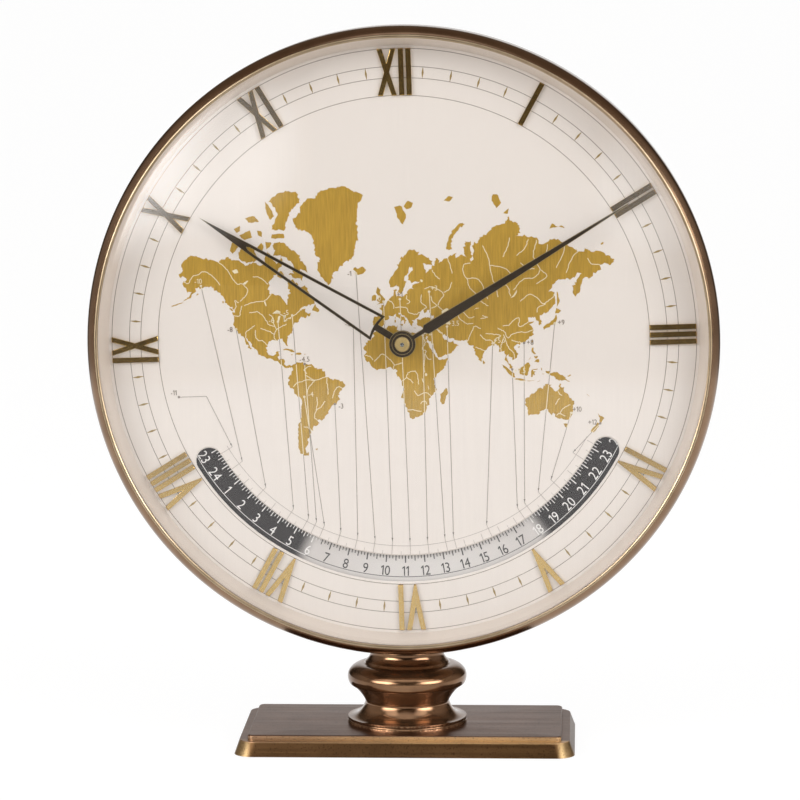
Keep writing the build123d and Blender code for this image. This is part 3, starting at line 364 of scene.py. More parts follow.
# painted highlight along the hands' edges: a light brass colour where their edges would catch the light
edgeHighlightPaint = grained("paintedEdgeHighlight", "#a48f63", {"Metallic": 0.6}, 1.5, 0.1, (0.28, 0.4))
# pressed wool: fibres too fine to show, so drawn coarser
feltCloth = grained("woolFelt", "#3a3028", {"Sheen Weight": 0.4}, 0.5, 0.3, (0.9, 1.0), 0.2)
# brushed brass, turned and blued steel of the movement
movementBrass = grained("brushedBrass", "#c4a350", {"Metallic": 1.0}, (6, 6, 0.3), 0.08, (0.24, 0.38))
brightSteel = grained("turnedSteel", "#b9bcc0", {"Metallic": 1.0}, (0.5, 3, 0.5), 0.06, (0.2, 0.32))
bluedSteel = grained("bluedSteel", "#2c3d66", {"Metallic": 1.0}, 1, 0.12, (0.24, 0.36))
# gold foil print of the land, brushed upright, duller than the numerals
goldLand = grained("goldFoil", "#bf983c", {"Metallic": 0.25}, (0.5, 4, 9), 0.16, (0.36, 0.5))
# the same foil on the minute marks, browner and less metallic than on the land
brownFoil = grained("brownFoil", "#a0864c", {"Metallic": 0.3}, 0.8, 0.1, (0.4, 0.5))
# nut turned from brass and left satin, so that it shows the soft light around it
satinBrass = grained("satinBrass", "#c9b077", {"Metallic": 0.6}, (0.3, 4, 0.3), 0.08, (0.36, 0.48))
# matt printing inks
greyInk = grained("greyInk", "#806f5e", {}, 0.6, 0.06, (0.5, 0.6))
leaderInk = grained("leaderInk", "#998d82", {}, 0.6, 0.06, (0.5, 0.6))
paleInk = grained("paleInk", "#b5aaa2", {}, 0.6, 0.06, (0.5, 0.6))
darkInk = grained("darkInk", "#34302e", {}, 0.6, 0.08, (0.45, 0.55))
whiteInk = grained("whiteInk", "#ece9e6", {}, 0.6, 0.02, (0.45, 0.55))
creamInk = grained("creamInk", "#ecdfbf", {}, 0.6, 0.02, (0.45, 0.55))
bySlot = {
    "satin_bronze": bronzeSatin, "felt": feltCloth, "polished_bronze": bronzePolished,
    "lacquered_case": caseLacquer, "crystal_glass": glass, "silvered_ring": silverRing,
    "cream_dial": creamDial, "polished_brass": gilt, "printed_disc": discPrint,
    "browned_hands": handBrown, "movement_brass": movementBrass, "bright_steel": brightSteel,
    "blued_spring": bluedSteel,
}
for entry in frame["record"]["subparts"]:
    dress(bySlot[entry["material_slot"]], entry["node"])
dress(bronzeBezel, "bezel")
dress(satinBrass, "hand_nut")
print("materials set")


# Two sphere caps of one radius, one glass thickness apart, joined by the flat rim under the bezel
crystalForm = {"dome": 120.25, "outer": 122.55, "seat": -29.8, "rise": 15.0, "thickness": 2.0, "rows": 60,
               "columns": 144}


def crystalPiece():
    f = crystalForm
    sphere = (f["dome"] ** 2 + f["rise"] ** 2) / (2 * f["rise"])
    lean = np.linspace(0, math.asin(f["dome"] / sphere), f["rows"])
    cap = np.stack([sphere * np.sin(lean), f["seat"] - f["rise"] + sphere * (1 - np.cos(lean))], axis=1)
    rim = [(f["outer"], f["seat"]), (f["outer"], f["seat"] + f["thickness"])]
    profile = np.concatenate([cap, rim, cap[::-1] + (0, f["thickness"])])
    return turnedPiece("crystalDome", profile, f["columns"], glass, "crystal", False)


# A half-round bead beside the glass, an outer edge that curves back into the skirt round the drum
bezelForm = {"lip": 120.3, "outer": 125.0, "front": -31.4, "back": -12.4, "skirt": 122.6, "seat": -29.8,
             "bead": 0.68, "round": 3.2, "fall": 6.2, "beadRows": 13, "edgeRows": 17, "columns": 240}


def bezelPiece():
    f = bezelForm
    lip, half, outer, back = f["lip"], f["bead"], f["outer"], f["back"]
    shoulder = f["front"] + half / 2
    bead = arcThrough((lip, shoulder), (lip + half, f["front"]), (lip + 2 * half, shoulder), f["beadRows"])
    curve = (f["round"] ** 2 + f["fall"] ** 2) / (2 * f["round"])
    lean = np.linspace(-math.asin(f["fall"] / curve), 0, f["edgeRows"])
    depth = shoulder + f["fall"] + curve * np.sin(lean)
    edge = np.stack([outer - curve * (1 - np.cos(lean)), depth], axis=1)
    rest = [(outer, back - half), (outer - half, back), (f["skirt"], back), (f["skirt"], f["seat"]),
            (lip, f["seat"])]
    profile = np.concatenate([bead, edge, rest])
    piece = turnedPiece("bezelRing", profile, f["columns"], bronzeBezel, "bezel", True)
    piece.data.materials.append(bronzeBead)
    marks = np.zeros(len(piece.data.polygons), np.int32)
    marks[:(len(bead) - 1) * f["columns"]] = 1
    piece.data.polygons.foreach_set("material_index", marks)
    return piece


# The turned column from its CAD mesh, with the bulge a little higher: old and new heights of its profile
columnForm = {"cad": (11.5, 15.45, 22.45, 27.05, 31.65), "seen": (11.5, 16.8, 23.9, 28.2, 31.85),
              "end": 33.65}


def columnPiece():
    f = columnForm
    mesh = mergedCopy("turnedColumn", "pedestal")
    points = readAll(mesh.vertices, "co", 3)
    height = points[:, 2] / mm
    inside = (height > f["cad"][0]) & (height < f["end"])
    lifted = np.interp(height, (*f["cad"], f["end"]), (*f["seen"], f["end"])) * mm
    points[inside, 2] = lifted[inside]
    mesh.vertices.foreach_set("co", points.ravel())
    mesh.materials.append(bronzePolished)
    shadeSmooth(mesh, merging["crease"])
    piece = addPiece("turnedColumn", mesh, "clock_body")
    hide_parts("pedestal")
    return piece


# A painted highlight inside the outline of a hand's front, in place of the light its edges would catch: a
# strip along each edge between a front and a side face
def rubbedRim(name, node, width, lift=0.02, facing=-0.8):
    mesh = mergedCopy(name, node)
    places = readAll(mesh.vertices, "co", 3) / mm
    normals = readAll(mesh.polygons, "normal", 3)
    size = readAll(mesh.polygons, "loop_total", 1, int)[:, 0]
    edgeOf = readAll(mesh.loops, "edge_index", 1, int)[:, 0]
    ends = readAll(mesh.edges, "vertices", 2, int)
    bpy.data.meshes.remove(mesh)
    order = np.argsort(edgeOf, kind="stable").reshape(-1, 2)
    pair = normals[np.repeat(np.arange(len(size)), size)[order]]
    front = pair[:, :, 1] < facing
    rim = front[:, 0] != front[:, 1]
    aside = np.where(front[rim, :1], pair[rim, 1], pair[rim, 0]) * (1, 0, 1)
    aside = aside / np.linalg.norm(aside, axis=1, keepdims=True)
    p, q = np.moveaxis(places[ends[edgeOf[order[rim, 0]]]] - (0, lift, 0), 1, 0)
    back = np.cross(q - p, -aside)[:, 1] > 0
    p, q = np.where(back[:, None], q, p), np.where(back[:, None], p, q)
    corners = np.stack([p, q, q - width * aside, p - width * aside], axis=1).reshape(-1, 3)
    faces = np.arange(len(corners)).reshape(-1, 4).tolist()
    return newPiece(name, corners, faces, [edgeHighlightPaint], node)


columnPiece()
crystalPiece()
bezelPiece()
# painted highlights along the edges of both hands
rubbedRim("hourHandEdgeHighlight", "hour_hand", 0.1)
rubbedRim("minuteHandEdgeHighlight", "minute_hand", 0.2)
bevelEdges("hour_numerals", 0.22)
print("column, crystal, bezel and hand edges made")


# A line drawn with a pen: each point is moved half the pen's width to both sides, square to the line
def penLine(line, width, mark=0):
    line = np.asarray(line, float)
    along = np.gradient(line, axis=0)
    along /= np.linalg.norm(along, axis=1, keepdims=True)
    across = np.stack([-along[:, 1], along[:, 0]], axis=1) * width / 2
    n = len(line)
    i = np.arange(n - 1)
    cells = np.stack([i + n, i + n + 1, i + 1, i], axis=1)
    return np.concatenate([line + across, line - across]), cells, mark


# A point on the dial from its radius and its angle from straight down, counted to the right
def fromBelow(radius, degrees):
    a = np.radians(degrees)
    return np.stack([radius * np.sin(a), -radius * np.cos(a)], axis=-1)


# A pen arc between two angles from straight down
def penArc(radius, start, end, width, mark=0, stepDegrees=1.5):
    count = max(3, int(abs(end - start) / stepDegrees) + 1)
    return penLine(fromBelow(radius, np.linspace(start, end, count)), width, mark)


# Straight marks between two radii at many angles at once, four corners each
def penTicks(angles, inner, outer, width, mark=0):
    out = fromBelow(1.0, np.asarray(angles, float))
    side = np.stack([-out[:, 1], out[:, 0]], axis=1) * width / 2
    corners = [inner * out - side, outer * out - side, outer * out + side, inner * out + side]
    points = np.stack(corners, axis=1).reshape(-1, 2)
    return points, np.arange(len(points)).reshape(-1, 4), mark


# Joins flat parts into one printed piece on a layer above the dial, or above another disc, turned about the
# dial's centre, with the ink's own small thickness
def printPiece(name, parts, layer, materials, body="clock_body", level=dial["front"],
               turn=dial["turn"]):
    points, faces, marks, first = [], [], [], 0
    for flat, cells, mark in parts:
        points.append(flat)
        faces += [[int(v) + first for v in cell] for cell in cells]
        marks.append(np.broadcast_to(mark, len(cells)))
        first += len(flat)
    x, z = np.concatenate(points).T
    c, s = math.cos(math.radians(turn)), math.sin(math.radians(turn))
    depth = np.full(len(x), level - layer * dial["inkStep"])
    placed = np.stack([x * c - z * s, depth, dial["height"] + x * s + z * c], axis=1)
    piece = newPiece(name, placed, faces, materials, body, np.concatenate(marks))
    skin = piece.modifiers.new("inkThickness", "SOLIDIFY")
    skin.thickness, skin.offset = dial["inkThickness"] * mm, -1
    return piece


# Dial print: circles round the numerals, minute marks, the zone scale
circles = {"radii": (97.3, 104.2, 108.7, 115.7), "pen": 0.22}
rounds = [penArc(radius, 0, 360, circles["pen"]) for radius in circles["radii"]]
printPiece("dialCircles", rounds, 1, [greyInk])

# Low pyramids of four faces, with two faces under them, at each minute but the fifth ones
lozenges = {"inner": 103.9, "outer": 109.0, "half": 0.42, "rise": 0.06}
minute = np.arange(60)
minute = minute[minute % 5 > 0]
out = fromBelow(1.0, minute * 6.0 + dial["turn"])
side = lozenges["half"] * np.stack([-out[:, 1], out[:, 0]], axis=1)
middle = (lozenges["inner"] + lozenges["outer"]) / 2 * out
corners = [lozenges["inner"] * out, middle - side, lozenges["outer"] * out, middle + side, middle]
flat = np.stack(corners, axis=1)
depth = np.broadcast_to(np.array([0, 0, 0, 0, -lozenges["rise"]]) + dial["front"], flat.shape[:2])
points = np.stack([flat[..., 0], depth, dial["height"] + flat[..., 1]], axis=-1)
cells = np.array([[0, 1, 4], [1, 2, 4], [2, 3, 4], [3, 0, 4], [3, 2, 1], [3, 1, 0]])
faces = (np.arange(len(minute))[:, None, None] * len(corners) + cells).reshape(-1, 3)
points = points.reshape(-1, 3)
newPiece("minuteLozenges", points, faces.tolist(), [brownFoil], "clock_body")

zoneScale = {"edge": 85.3, "hourTick": 82.6, "halfTick": 84.0, "arc": 81.8, "reach": 61, "arrow": 80.2,
             "pen": 0.2, "halfPen": 0.16, "hours": 12}
hours = dial["hour"] * np.arange(-zoneScale["hours"], zoneScale["hours"] + 1)
halves = hours[:-1] + dial["hour"] / 2
scale = [penArc(zoneScale["arc"], -zoneScale["reach"], zoneScale["reach"], zoneScale["pen"]),
         penTicks(hours, zoneScale["hourTick"], zoneScale["edge"], zoneScale["pen"]),
         penTicks(halves, zoneScale["halfTick"], zoneScale["edge"], zoneScale["halfPen"])]
printPiece("zoneScale", scale, 1, [paleInk])
print("dial circles, minute marks and zone scale made")


# One sign of Blender's own font as flat points and faces; its one is a bare bar, so one with a flag is drawn
def signShape(sign):
    if sign == "1":
        outline = [(0.13, 0), (0.225, 0), (0.225, 0.69), (0.15, 0.69), (0.13, 0.56), (0, 0.48), (0, 0.58)]
        return np.array(outline), [(0, 1, 2, 3, 4), (4, 3, 6, 5)]
    words = bpy.data.curves.new("sign", "FONT")
    words.body, words.resolution_u = sign, 3
    holder = bpy.data.objects.new("sign", words)
    mesh = bpy.data.meshes.new_from_object(holder)
    points = readAll(mesh.vertices, "co", 3)[:, :2]
    faces = [tuple(face.vertices) for face in mesh.polygons]
    bpy.data.meshes.remove(mesh)
    bpy.data.objects.remove(holder)
    bpy.data.curves.remove(words)
    return points, faces


# A number set from such signs, centred, with figure height one
def figureShape(number, gap=0.1, height=0.69):
    points, faces, pen, count = [], [], 0.0, 0
    for sign in number:
        shape, cells = signShape(sign)
        left, right = shape[:, 0].min(), shape[:, 0].max()
        points.append(shape + (pen - left, -height / 2))
        faces += [tuple(i + count for i in cell) for cell in cells]
        pen, count = pen + right - left + gap, count + len(shape)
    return (np.concatenate(points) - ((pen - gap) / 2, 0)) / height, faces


# A shape set upright at a place on the ring, its head towards the dial's centre
def onRing(shape, height, narrow, radius, degrees, mark):
    points, faces = shape
    a = math.radians(degrees)
    right, up = np.array([math.cos(a), math.sin(a)]), np.array([-math.sin(a), math.cos(a)])
    upright = height * (narrow * points[:, :1] * right + points[:, 1:] * up)
    return fromBelow(radius, degrees) + upright, faces, mark


# Ring of three day scales on the turning disc: a tick each ten minutes, figures at the hours, one outer line
dayRing = {"inner": 84.9, "hourTick": (88.9, 0.46), "halfTick": (88.1, 0.36), "tenTick": (87.3, 0.32),
           "figures": 92.25, "height": 3.9, "narrow": 0.84, "line": 94.6, "pen": 0.24, "days": (0, 120, 240),
           "light": (6.4, 17.6)}
tens = np.arange(3 * 24 * 6)
tenAngle = dial["noon"] + (tens - 12 * 6) * dial["hour"] / 6
hour = tens / 6 % 24
day = (hour > dayRing["light"][0]) & (hour < dayRing["light"][1])
kinds = {"hourTick": tens % 6 == 0, "halfTick": tens % 6 == 3, "tenTick": tens % 3 > 0}
parts = []
for mark, light in enumerate((day, ~day)):
    for kind, chosen in kinds.items():
        reach, pen = dayRing[kind]
        parts.append(penTicks(tenAngle[light & chosen], dayRing["inner"], reach, pen, mark))
for number in range(24):
    shape = figureShape(str(number or 24))
    mark = 0 if 6 < number < 18 else 1
    place = dial["noon"] + dial["hour"] * (number - 12)
    parts += [onRing(shape, dayRing["height"], dayRing["narrow"], dayRing["figures"], place + turn, mark)
              for turn in dayRing["days"]]
for turn in dayRing["days"]:
    dawn, half = dial["noon"] - 6 * dial["hour"] + turn, 12 * dial["hour"]
    parts += [penArc(dayRing["line"], dawn, dawn + half, dayRing["pen"], 0),
              penArc(dayRing["line"], dawn - half, dawn, dayRing["pen"], 1)]
printPiece("dayRingPrint", parts, 1, [darkInk, whiteInk], "hour_disc", dial["ringFront"], 0)
print("day ring printed")


# World map: coasts, lakes and rivers as longitude and latitude pairs, written from memory, drawn in Mercator
mapForm = {"scale": 0.481, "middle": 15.0, "stretch": 27.56, "drop": 12.8, "step": 0.7, "crinkle": 0.28,
           "shore": 0.06, "meander": 0.09, "river": 0.3, "seed": 7}
land = [
    # North America and its islands
    "-168 65.6 -164 66.6 -166 68.3 -163 69.5 -156.7 71.3 -150 70.5 -141 69.7 -135 69.2 -130 70.1 -127.5"
    " 70.5 -124 69.5 -120 69.7 -115 68.3 -109 68 -106 68.7 -101 67.8 -97 68 -95.5 69.5 -94.5 71.8 -92.5"
    " 71 -91.5 69.6 -88 68.8 -86.5 68 -85.5 69.5 -82 69.7 -81.5 68 -86 66.3 -87 64.8 -90.5 63.5 -94 61"
    " -94.7 59 -92.5 57 -88 56.5 -83 55.2 -82 53 -80.5 51.3 -79 51.7 -79.2 54.2 -76.7 56.5 -77 58.3"
    " -78.5 58.7 -78 60.8 -77.5 62.4 -74 62.3 -70 61 -69.5 59 -67.5 58.3 -65.5 59.8 -64.5 60.3 -62 57.5"
    " -60 55.2 -57.5 54 -56 52 -58.8 51.2 -63 50.2 -66.5 50.2 -69 48.7 -71 47 -67.5 48.8 -64.5 49 -65"
    " 47.5 -64.5 46.2 -61.5 45.8 -60.5 47 -61 45.3 -65.5 43.5 -66 44.8 -67.2 44.7 -70 43.7 -70.8 42.5"
    " -70 41.7 -74 40.7 -74.2 39.5 -75.5 38 -76 36.9 -75.6 35.3 -78 34 -81 32 -81.4 30.5 -80.1 27 -80.4"
    " 25.2 -81.7 25.9 -82.8 28 -84 30 -87 30.4 -89.5 30.2 -89.2 29.1 -91.5 29.5 -94.7 29.4 -97 27.9"
    " -97.3 26 -97.8 22.5 -96.2 19.3 -94.5 18.2 -91.5 18.6 -90.5 20.9 -87 21.5 -87.6 19.5 -88.3 17"
    " -88.8 15.9 -86 15.9 -83.4 15 -83.6 11 -82 9 -79.7 9.5 -77.4 8.5 -77.9 7.2 -79 8.9 -80.4 7.4 -82.9"
    " 8.2 -85.7 9.9 -87.6 12.9 -91.4 13.9 -94 16 -96.5 15.7 -100 17 -104.3 19 -105.6 20.4 -106.5 23.4"
    " -109.3 25.8 -112.2 28.9 -113.1 31.2 -114.7 31.6 -114.6 30 -112.6 27.5 -111 25 -109.5 23 -112 24.7"
    " -113.5 26.8 -115 28 -115.8 30.3 -117.2 32.7 -120.5 34.5 -122.5 37.3 -124.3 40.4 -124.1 44 -124.6"
    " 48.3 -122.6 48 -123.5 49.3 -127.5 51 -130.2 54 -133 57 -137 58.7 -141 60 -146 60.7 -148.5 60"
    " -151.8 59.3 -151 61 -154 59.5 -157 57.6 -160.5 55.7 -164.8 54.6 -160.5 56.1 -157.8 58.4 -162 58.7"
    " -162.2 60 -165.3 61.3 -164.5 63.1 -161 63.7 -161.2 64.6 -166.3 64.5",
    "-43.9 59.9 -46.5 60.9 -49 61.8 -51 63.8 -53.2 66 -53.5 68 -51 69.4 -54.5 70.5 -55.5 73 -58 75.2"
    " -62.5 76.2 -68.5 76.1 -70.5 77 -72.5 78.2 -67 79.2 -64.5 80.4 -60 81.2 -53 81.3 -50 82 -40 82.3"
    " -30 82.5 -22 82 -14 81.4 -19 80 -19.5 78 -20 76.3 -20 74 -22.5 72 -23 70.2 -26 68.6 -32 67.9"
    " -36.5 65.8 -40.5 64.6 -42.3 62",
    "-90 76.6 -80 76.2 -78 77.5 -76 78.6 -74 79.5 -66 81 -68 82 -78 82.2 -86 81.7 -91 81 -87 80 -84"
    " 79.2 -87 78.2", "-95 81 -90 80 -87.5 78.8 -91 78.2 -94 79.5", "-90 75.6 -80 75.6 -80 74.6 -91 74.7",
    "-89 73.3 -85 73.8 -81 73.6 -76.5 72.8 -72 71.5 -68 70.2 -67 69 -62 66.8 -63.5 65 -67.5 66.2 -68.3"
    " 64.8 -65 63.2 -66 62 -71 62.8 -77.5 64.4 -74 64.6 -73 66.5 -72.8 67.9 -77 69.2 -82 70 -89 70.6",
    "-117.5 70 -118 71.5 -114 73 -108 73.2 -105 72.5 -104.5 70.8 -101.5 69.8 -105 68.9 -113 68.6 -116.5"
    " 69.4", "-125 72 -123.5 74 -119 74.1 -118 73 -122.5 71.2", "-117 75.5 -108 76.5 -106 75 -113 74.5",
    "-102 72.8 -99 73.8 -97 73 -98.5 71.4 -101 71.7", "-95.5 73.9 -90.5 73.8 -92 72.8 -95 72.2",
    "-87 64 -84 65.9 -80.5 64 -84 63", "-102 76.4 -98 76.2 -98 75 -101.5 75.4",
    "-112 78.6 -104 79 -100 78 -108 77.8", "-121 76.8 -116 77.4 -116 76.4 -119 76",
    "-59.2 47.7 -57.5 50.5 -55.8 51.5 -56 50 -53 48.5 -53.5 46.7 -56 47.2",
    "-84.8 21.9 -82 23 -78 22.5 -74.3 20.3 -77.5 19.9 -78 20.8 -81.5 22.1",
    "-74.3 18.4 -73 19.9 -69.8 19.7 -68.5 18.4 -71.5 17.8", "-78.3 18.2 -77 18.6 -76.3 18 -77.3 17.8",
    "-67.2 18 -66.9 18.5 -65.7 18.4 -66 18", "-164 54.2 -168 53.2 -174 52.1 -176 52 -174 52.5 -168 53.7",
    "-154.5 57 -152.5 58.2 -152.4 57.3", "-132.8 53 -133 54.1 -131.7 54 -131.8 53",
    "-127.8 50.5 -125.2 50.2 -123.6 48.5 -125.5 48.9",
    # South America
    "-77.4 8.5 -75.6 10.6 -74.2 11.2 -71.8 12.2 -71.6 10.8 -70 12 -68 10.7 -64 10.5 -61.8 10.6 -60 8.5"
    " -57 6 -54 5.8 -51.5 4.2 -50 1.5 -50.3 -0.3 -48 -0.8 -44.5 -2.8 -40 -2.9 -37 -5 -35.2 -5.5 -34.8"
    " -8 -37 -11 -39 -13.5 -39.2 -17.5 -40.8 -21.5 -42 -23 -45 -23.6 -48.3 -25.8 -48.7 -28.5 -51.5"
    " -31.5 -53.5 -34 -56.5 -34.9 -58.4 -34 -57.3 -36 -57.7 -38.2 -62 -39 -62.3 -40.8 -65 -41 -64 -42.7"
    " -65.3 -44.6 -67.5 -46 -65.9 -47.7 -69 -50.5 -68.5 -52.5 -65.5 -54.8 -69 -55.3 -72.5 -53.5 -75 -51"
    " -75.5 -47.5 -73.5 -44.5 -74 -41.5 -73.5 -37.2 -71.6 -33 -71.3 -30 -70.3 -25 -70.2 -18.5 -72.5"
    " -16.8 -76.2 -14 -77.3 -11.8 -79 -8.5 -81.2 -6 -81.3 -4.3 -80 -3 -80.9 -1.5 -80 0.7 -78.7 1.6"
    " -77.2 3.9 -77.5 6.6", "-61 -51.5 -58.2 -51.3 -59.5 -52.3",
    # Europe and Asia
    "-9 37 -9.5 38.8 -8.8 41.5 -9.2 43.2 -5 43.5 -1.8 43.4 -1.2 46 -4.7 48.3 -1.6 48.7 -1.7 49.7 0.2"
    " 49.6 1.7 50.8 4 52 4.8 53.2 8 53.6 8.6 55.3 8.2 57 10.5 57.6 10.6 56.2 9.8 55 11 54.2 14 54 18.5"
    " 54.7 21 55.3 21.2 57.2 24.2 57.2 23.5 59.2 28 59.6 30 60 25 60.2 22.8 60 21.3 61 21.5 63 25.3 65"
    " 24 65.8 22 65.5 21.2 64.4 17.5 62 17.2 60.7 18.8 59.8 16.6 58 16.3 56.5 14.3 55.5 12.8 55.5 12.8"
    " 56.5 11.2 59 10.5 59.3 8 58.1 5.5 58.8 5 61.5 8.5 63.5 12 65.5 14.5 68 19 69.9 25.5 71 31 70.3 30"
    " 69.7 35 69.2 41 67.5 40.5 66.3 35 66.5 32.5 67 35 64.3 37.5 63.9 37.3 65 40 64.7 40 65.8 43.5"
    " 66.4 44 68.4 46.5 68 46 66.9 49 67.7 54 68.6 60 69.6 60.8 68.5 64.5 69.2 68.5 68.3 67 69.7 67"
    " 71.3 69 72.8 72.5 72.5 72.8 71.2 73.8 68.8 72 66.5 75 67.8 74.2 70 75 72.6 79 72.2 80.5 73.6 86"
    " 74.2 93 76 100 76.3 104.3 77.7 106.5 76.7 112.5 76.4 113.5 74.3 110 73.8 113 73.6 123.5 73.3 127"
    " 73.3 129 71.3 133 71.6 140 72.6 146 72.4 152 70.9 160 69.7 161 69.3 168 69.9 171 69 178 69.3 180"
    " 68.9 185.5 67.2 190 66.1 187.5 64.5 184 65.2 181 65.4 177.5 64.6 179 62.6 174 61.8 170.3 60 166"
    " 60.2 163.5 58.5 162.3 56.2 161.5 54.9 159.9 53 156.7 51 155.7 54.5 156.5 57.5 160 60.2 163 61.8"
    " 160 61.7 155.5 59.3 151 59.3 143 59.3 138.5 57 135.5 54.8 138 53.7 141 53.2 140.5 50.5 140.3 48"
    " 136 44.5 133 42.8 130.5 42.4 127.5 39.8 129.3 37 129.2 35.3 126.5 34.4 126.5 37 125 38.5 124.3 40"
    " 121.3 39 122 40.6 118 39 119 37.3 122.4 37.2 119.3 35 121.8 32 122 30 120 27 117 23.8 113.8 22.4"
    " 110.5 21.3 110 20.3 108 21.6 106 19 109 13.2 107.3 10.6 104.8 8.8 105 10.5 102.5 12 100.8 13.4"
    " 99.4 11 100.4 8 103.2 5 104.2 1.5 103 1.6 100.4 6 98.4 8.2 98.7 12 97.5 16.5 94.5 16 94 19 91.8"
    " 22.3 88.5 21.8 87 21 85 19.6 82 16.5 80.2 15 80.2 12.5 79 9.5 77.5 8.1 76 10.5 73.5 16 72.8 19.5"
    " 72.7 21.2 70.5 20.9 69 22.3 67 24.8 62 25.1 57.3 25.7 56.5 27 53 26.8 50.5 29.9 48 30 48.5 28"
    " 50.2 26.5 51.5 25 54 24.2 56.3 26 56.5 24.3 59.8 22.5 57.5 19 55 17 52 15.6 45 12.8 43.3 12.8"
    " 42.5 16 39.3 20.5 38.5 23.5 35 28 34.9 29.4 34.2 27.8 32.6 29.9 32.5 31.2 34.5 31.7 36 34.5 35.8"
    " 36.6 32.5 36.1 30.5 36.5 27.5 36.7 26.5 38.5 26.5 40 29.2 40.9 31.5 41.2 35 42 38.5 41 41.6 41.6"
    " 39 44 37 45.2 39.2 47.1 35 46.2 33.5 44.6 32.5 46 30.7 46.4 28.5 43.5 28 41.7 26.2 40.6 23.8 40.4"
    " 22.8 40.4 23.8 38 22.8 36.6 21.3 37.5 19.4 40.2 19.5 42 15.5 43.7 13.7 45.2 12.3 45.2 13.6 43.6"
    " 16 42 18.5 40.2 16.8 40.3 17 39 15.8 38 15.7 40 14 40.8 12.2 41.8 10.4 43.3 8.8 44.4 6 43.1 3.2"
    " 43.2 3 41.8 0.3 40.2 -0.5 38.3 -2 36.8 -5.4 36.1 -6.4 36.9",
    "-24 65.5 -22.2 66.4 -21 65.5 -16.2 66.5 -13.7 65 -16.5 63.7 -19.5 63.4 -22.6 63.9 -22 64.8",
    "-10 52 -9.5 54.2 -7.5 55.3 -5.7 54.5 -6.3 52.2",
    "-5.5 50.1 -3 51.4 -5.1 51.8 -4.4 53.2 -3 54 -5 55 -6 56.5 -5 58.6 -3.2 58.5 -4 57.6 -1.9 57.5 -3"
    " 56 -1.5 55 0.2 53 1.7 52.6 1 51.2 -1.5 50.7",
    "11 79.6 14 79.8 17 79.9 19 79 21 78.3 17.5 76.6 14 78", "19 79.7 22 80.5 27 80.2 25 79.4 21 79.3",
    "52 70.8 54.5 72.5 56 74.2 60 75.8 66 76.9 68.5 76.6 64 75.6 58.5 73.8 56.5 71.5 57.5 70.6 54 70.8",
    "95 79 91 80.2 92 81 96 81 99 79.8", "105 79 104 78 100 78.2",
    "137.5 75 140 76.2 143 75.5 150.5 75 148 75.6", "52 80.4 56 81 60 80.8 56 80.2",
    "178.8 71 181 71.6 182 71.2 180 70.8", "8.4 39 8.3 41 9.6 41 9.5 39.2", "8.6 42 9.4 43 9.4 41.5",
    "12.5 38 15.5 38.2 15 36.8", "23.6 35.5 26.2 35.3 25 34.9", "32.4 35 34.4 35.6 33.6 34.6",
    "11 55.6 12.5 56 12 55", "18.2 57 19 57.9 18.8 57.3",
    # Africa
    "-5.9 35.8 -2 35.1 3 36.8 10 37.3 11 36.8 10.2 34.3 15 32.3 19 30.3 20.2 32.5 23 32.8 25.2 31.6 29"
    " 30.9 31.5 31.5 32.4 31 32.6 29.9 34 26.5 35.6 23.8 37.3 20.8 38.6 18 41 15 43.2 12.5 43 11.3 44.5"
    " 10.5 51.2 11.9 50.8 9.5 48 4.5 44 1 41 -2 39 -5 39.5 -8 40.5 -11 40.6 -15 36.5 -18.5 34.8 -20"
    " 35.4 -23.5 32.8 -26 32 -28.8 29 -32.5 25.7 -34 20 -34.8 18.3 -34.2 18.2 -32 16.5 -28.5 14.5 -22.5"
    " 11.8 -18 13.5 -12.5 13 -9 12 -5.5 9 -1 9.5 2 9.5 4 6 4.3 4.3 6.3 1 5.9 -2 4.8 -7.5 4.4 -11.5 6.8"
    " -13.2 9 -15 11 -16.8 12.8 -17.4 14.7 -16.3 17 -16.3 19.5 -17 21 -14.8 25.5 -11.5 28.3 -9.7 30 -9"
    " 32.6 -6.3 34.5",
    "49.3 -12.1 50.4 -15.5 48.5 -20.5 47 -25 45 -25.5 43.6 -23 44.4 -19.5 44.2 -16.8 46.5 -15.6",
    # Islands of the east, Australia
    "80 9.7 81.8 7.5 81 6.1 79.8 7",
    "95.3 5.5 98 4.2 103.5 -0.8 106 -3 105.8 -5.8 104.3 -5.5 100.5 -1.5 98 1.8",
    "105.3 -6.8 106.5 -6 111 -6.5 114.4 -7.8 114.4 -8.7 109 -7.8",
    "115 -8.3 119 -8.5 122.8 -8.3 119 -8.9 115.6 -8.9", "124 -10 126.9 -8.5 125 -8.9 123.6 -9.8",
    "109 1.5 111.3 2.4 113.8 4.6 117 7 119 5 117.7 1 116.2 -3.8 114.5 -4.1 110.3 -3 109 0",
    "119 -5.4 119.3 -3.3 119.9 0.6 124.8 1.5 124.3 0.4 120.4 0.4 121 -1 123.2 -0.9 121.5 -2 122.8 -4.4"
    " 121.3 -4.6 120.8 -2.8 120.3 -5.4", "127.6 2 128.5 1 128 -0.8 127.5 0.5",
    "128 -3 130.6 -3.2 129 -3.5",
    "131 -0.8 134 -0.8 135.2 -3.3 138 -1.7 141 -2.6 145.5 -5.2 147.8 -6 147 -6.8 150.7 -10.4 147.5 -9.8"
    " 144 -7.8 142.5 -9.2 139 -8.2 138 -5.5 133.5 -3.8 132 -2.8",
    "148.5 -5.7 151.5 -4.2 152.2 -4.4 150.5 -6.2",
    "120.5 18.3 122.2 18.4 121.8 15.8 124 12.8 121 13.7 120 16",
    "122 7 123.5 8.6 125.5 9.7 126.5 7.5 125.5 5.8 124 7",
    "122 11.8 124 11.2 125.3 12.4 125 10.2 122.8 9.4", "117.3 8.4 119.5 11.2 118.8 9.8",
    "120.2 23 121.6 25.2 120.9 22", "108.7 19.2 110.9 20 110 18.4",
    "130 33.4 132.5 35.4 136 36 137 37.4 139.5 38.5 140.2 41 141.4 41.3 142 39.5 140.9 36.8 140 35.2"
    " 137 34.7 135.6 33.6 132 32.8 131.2 31.3 130.2 31.4",
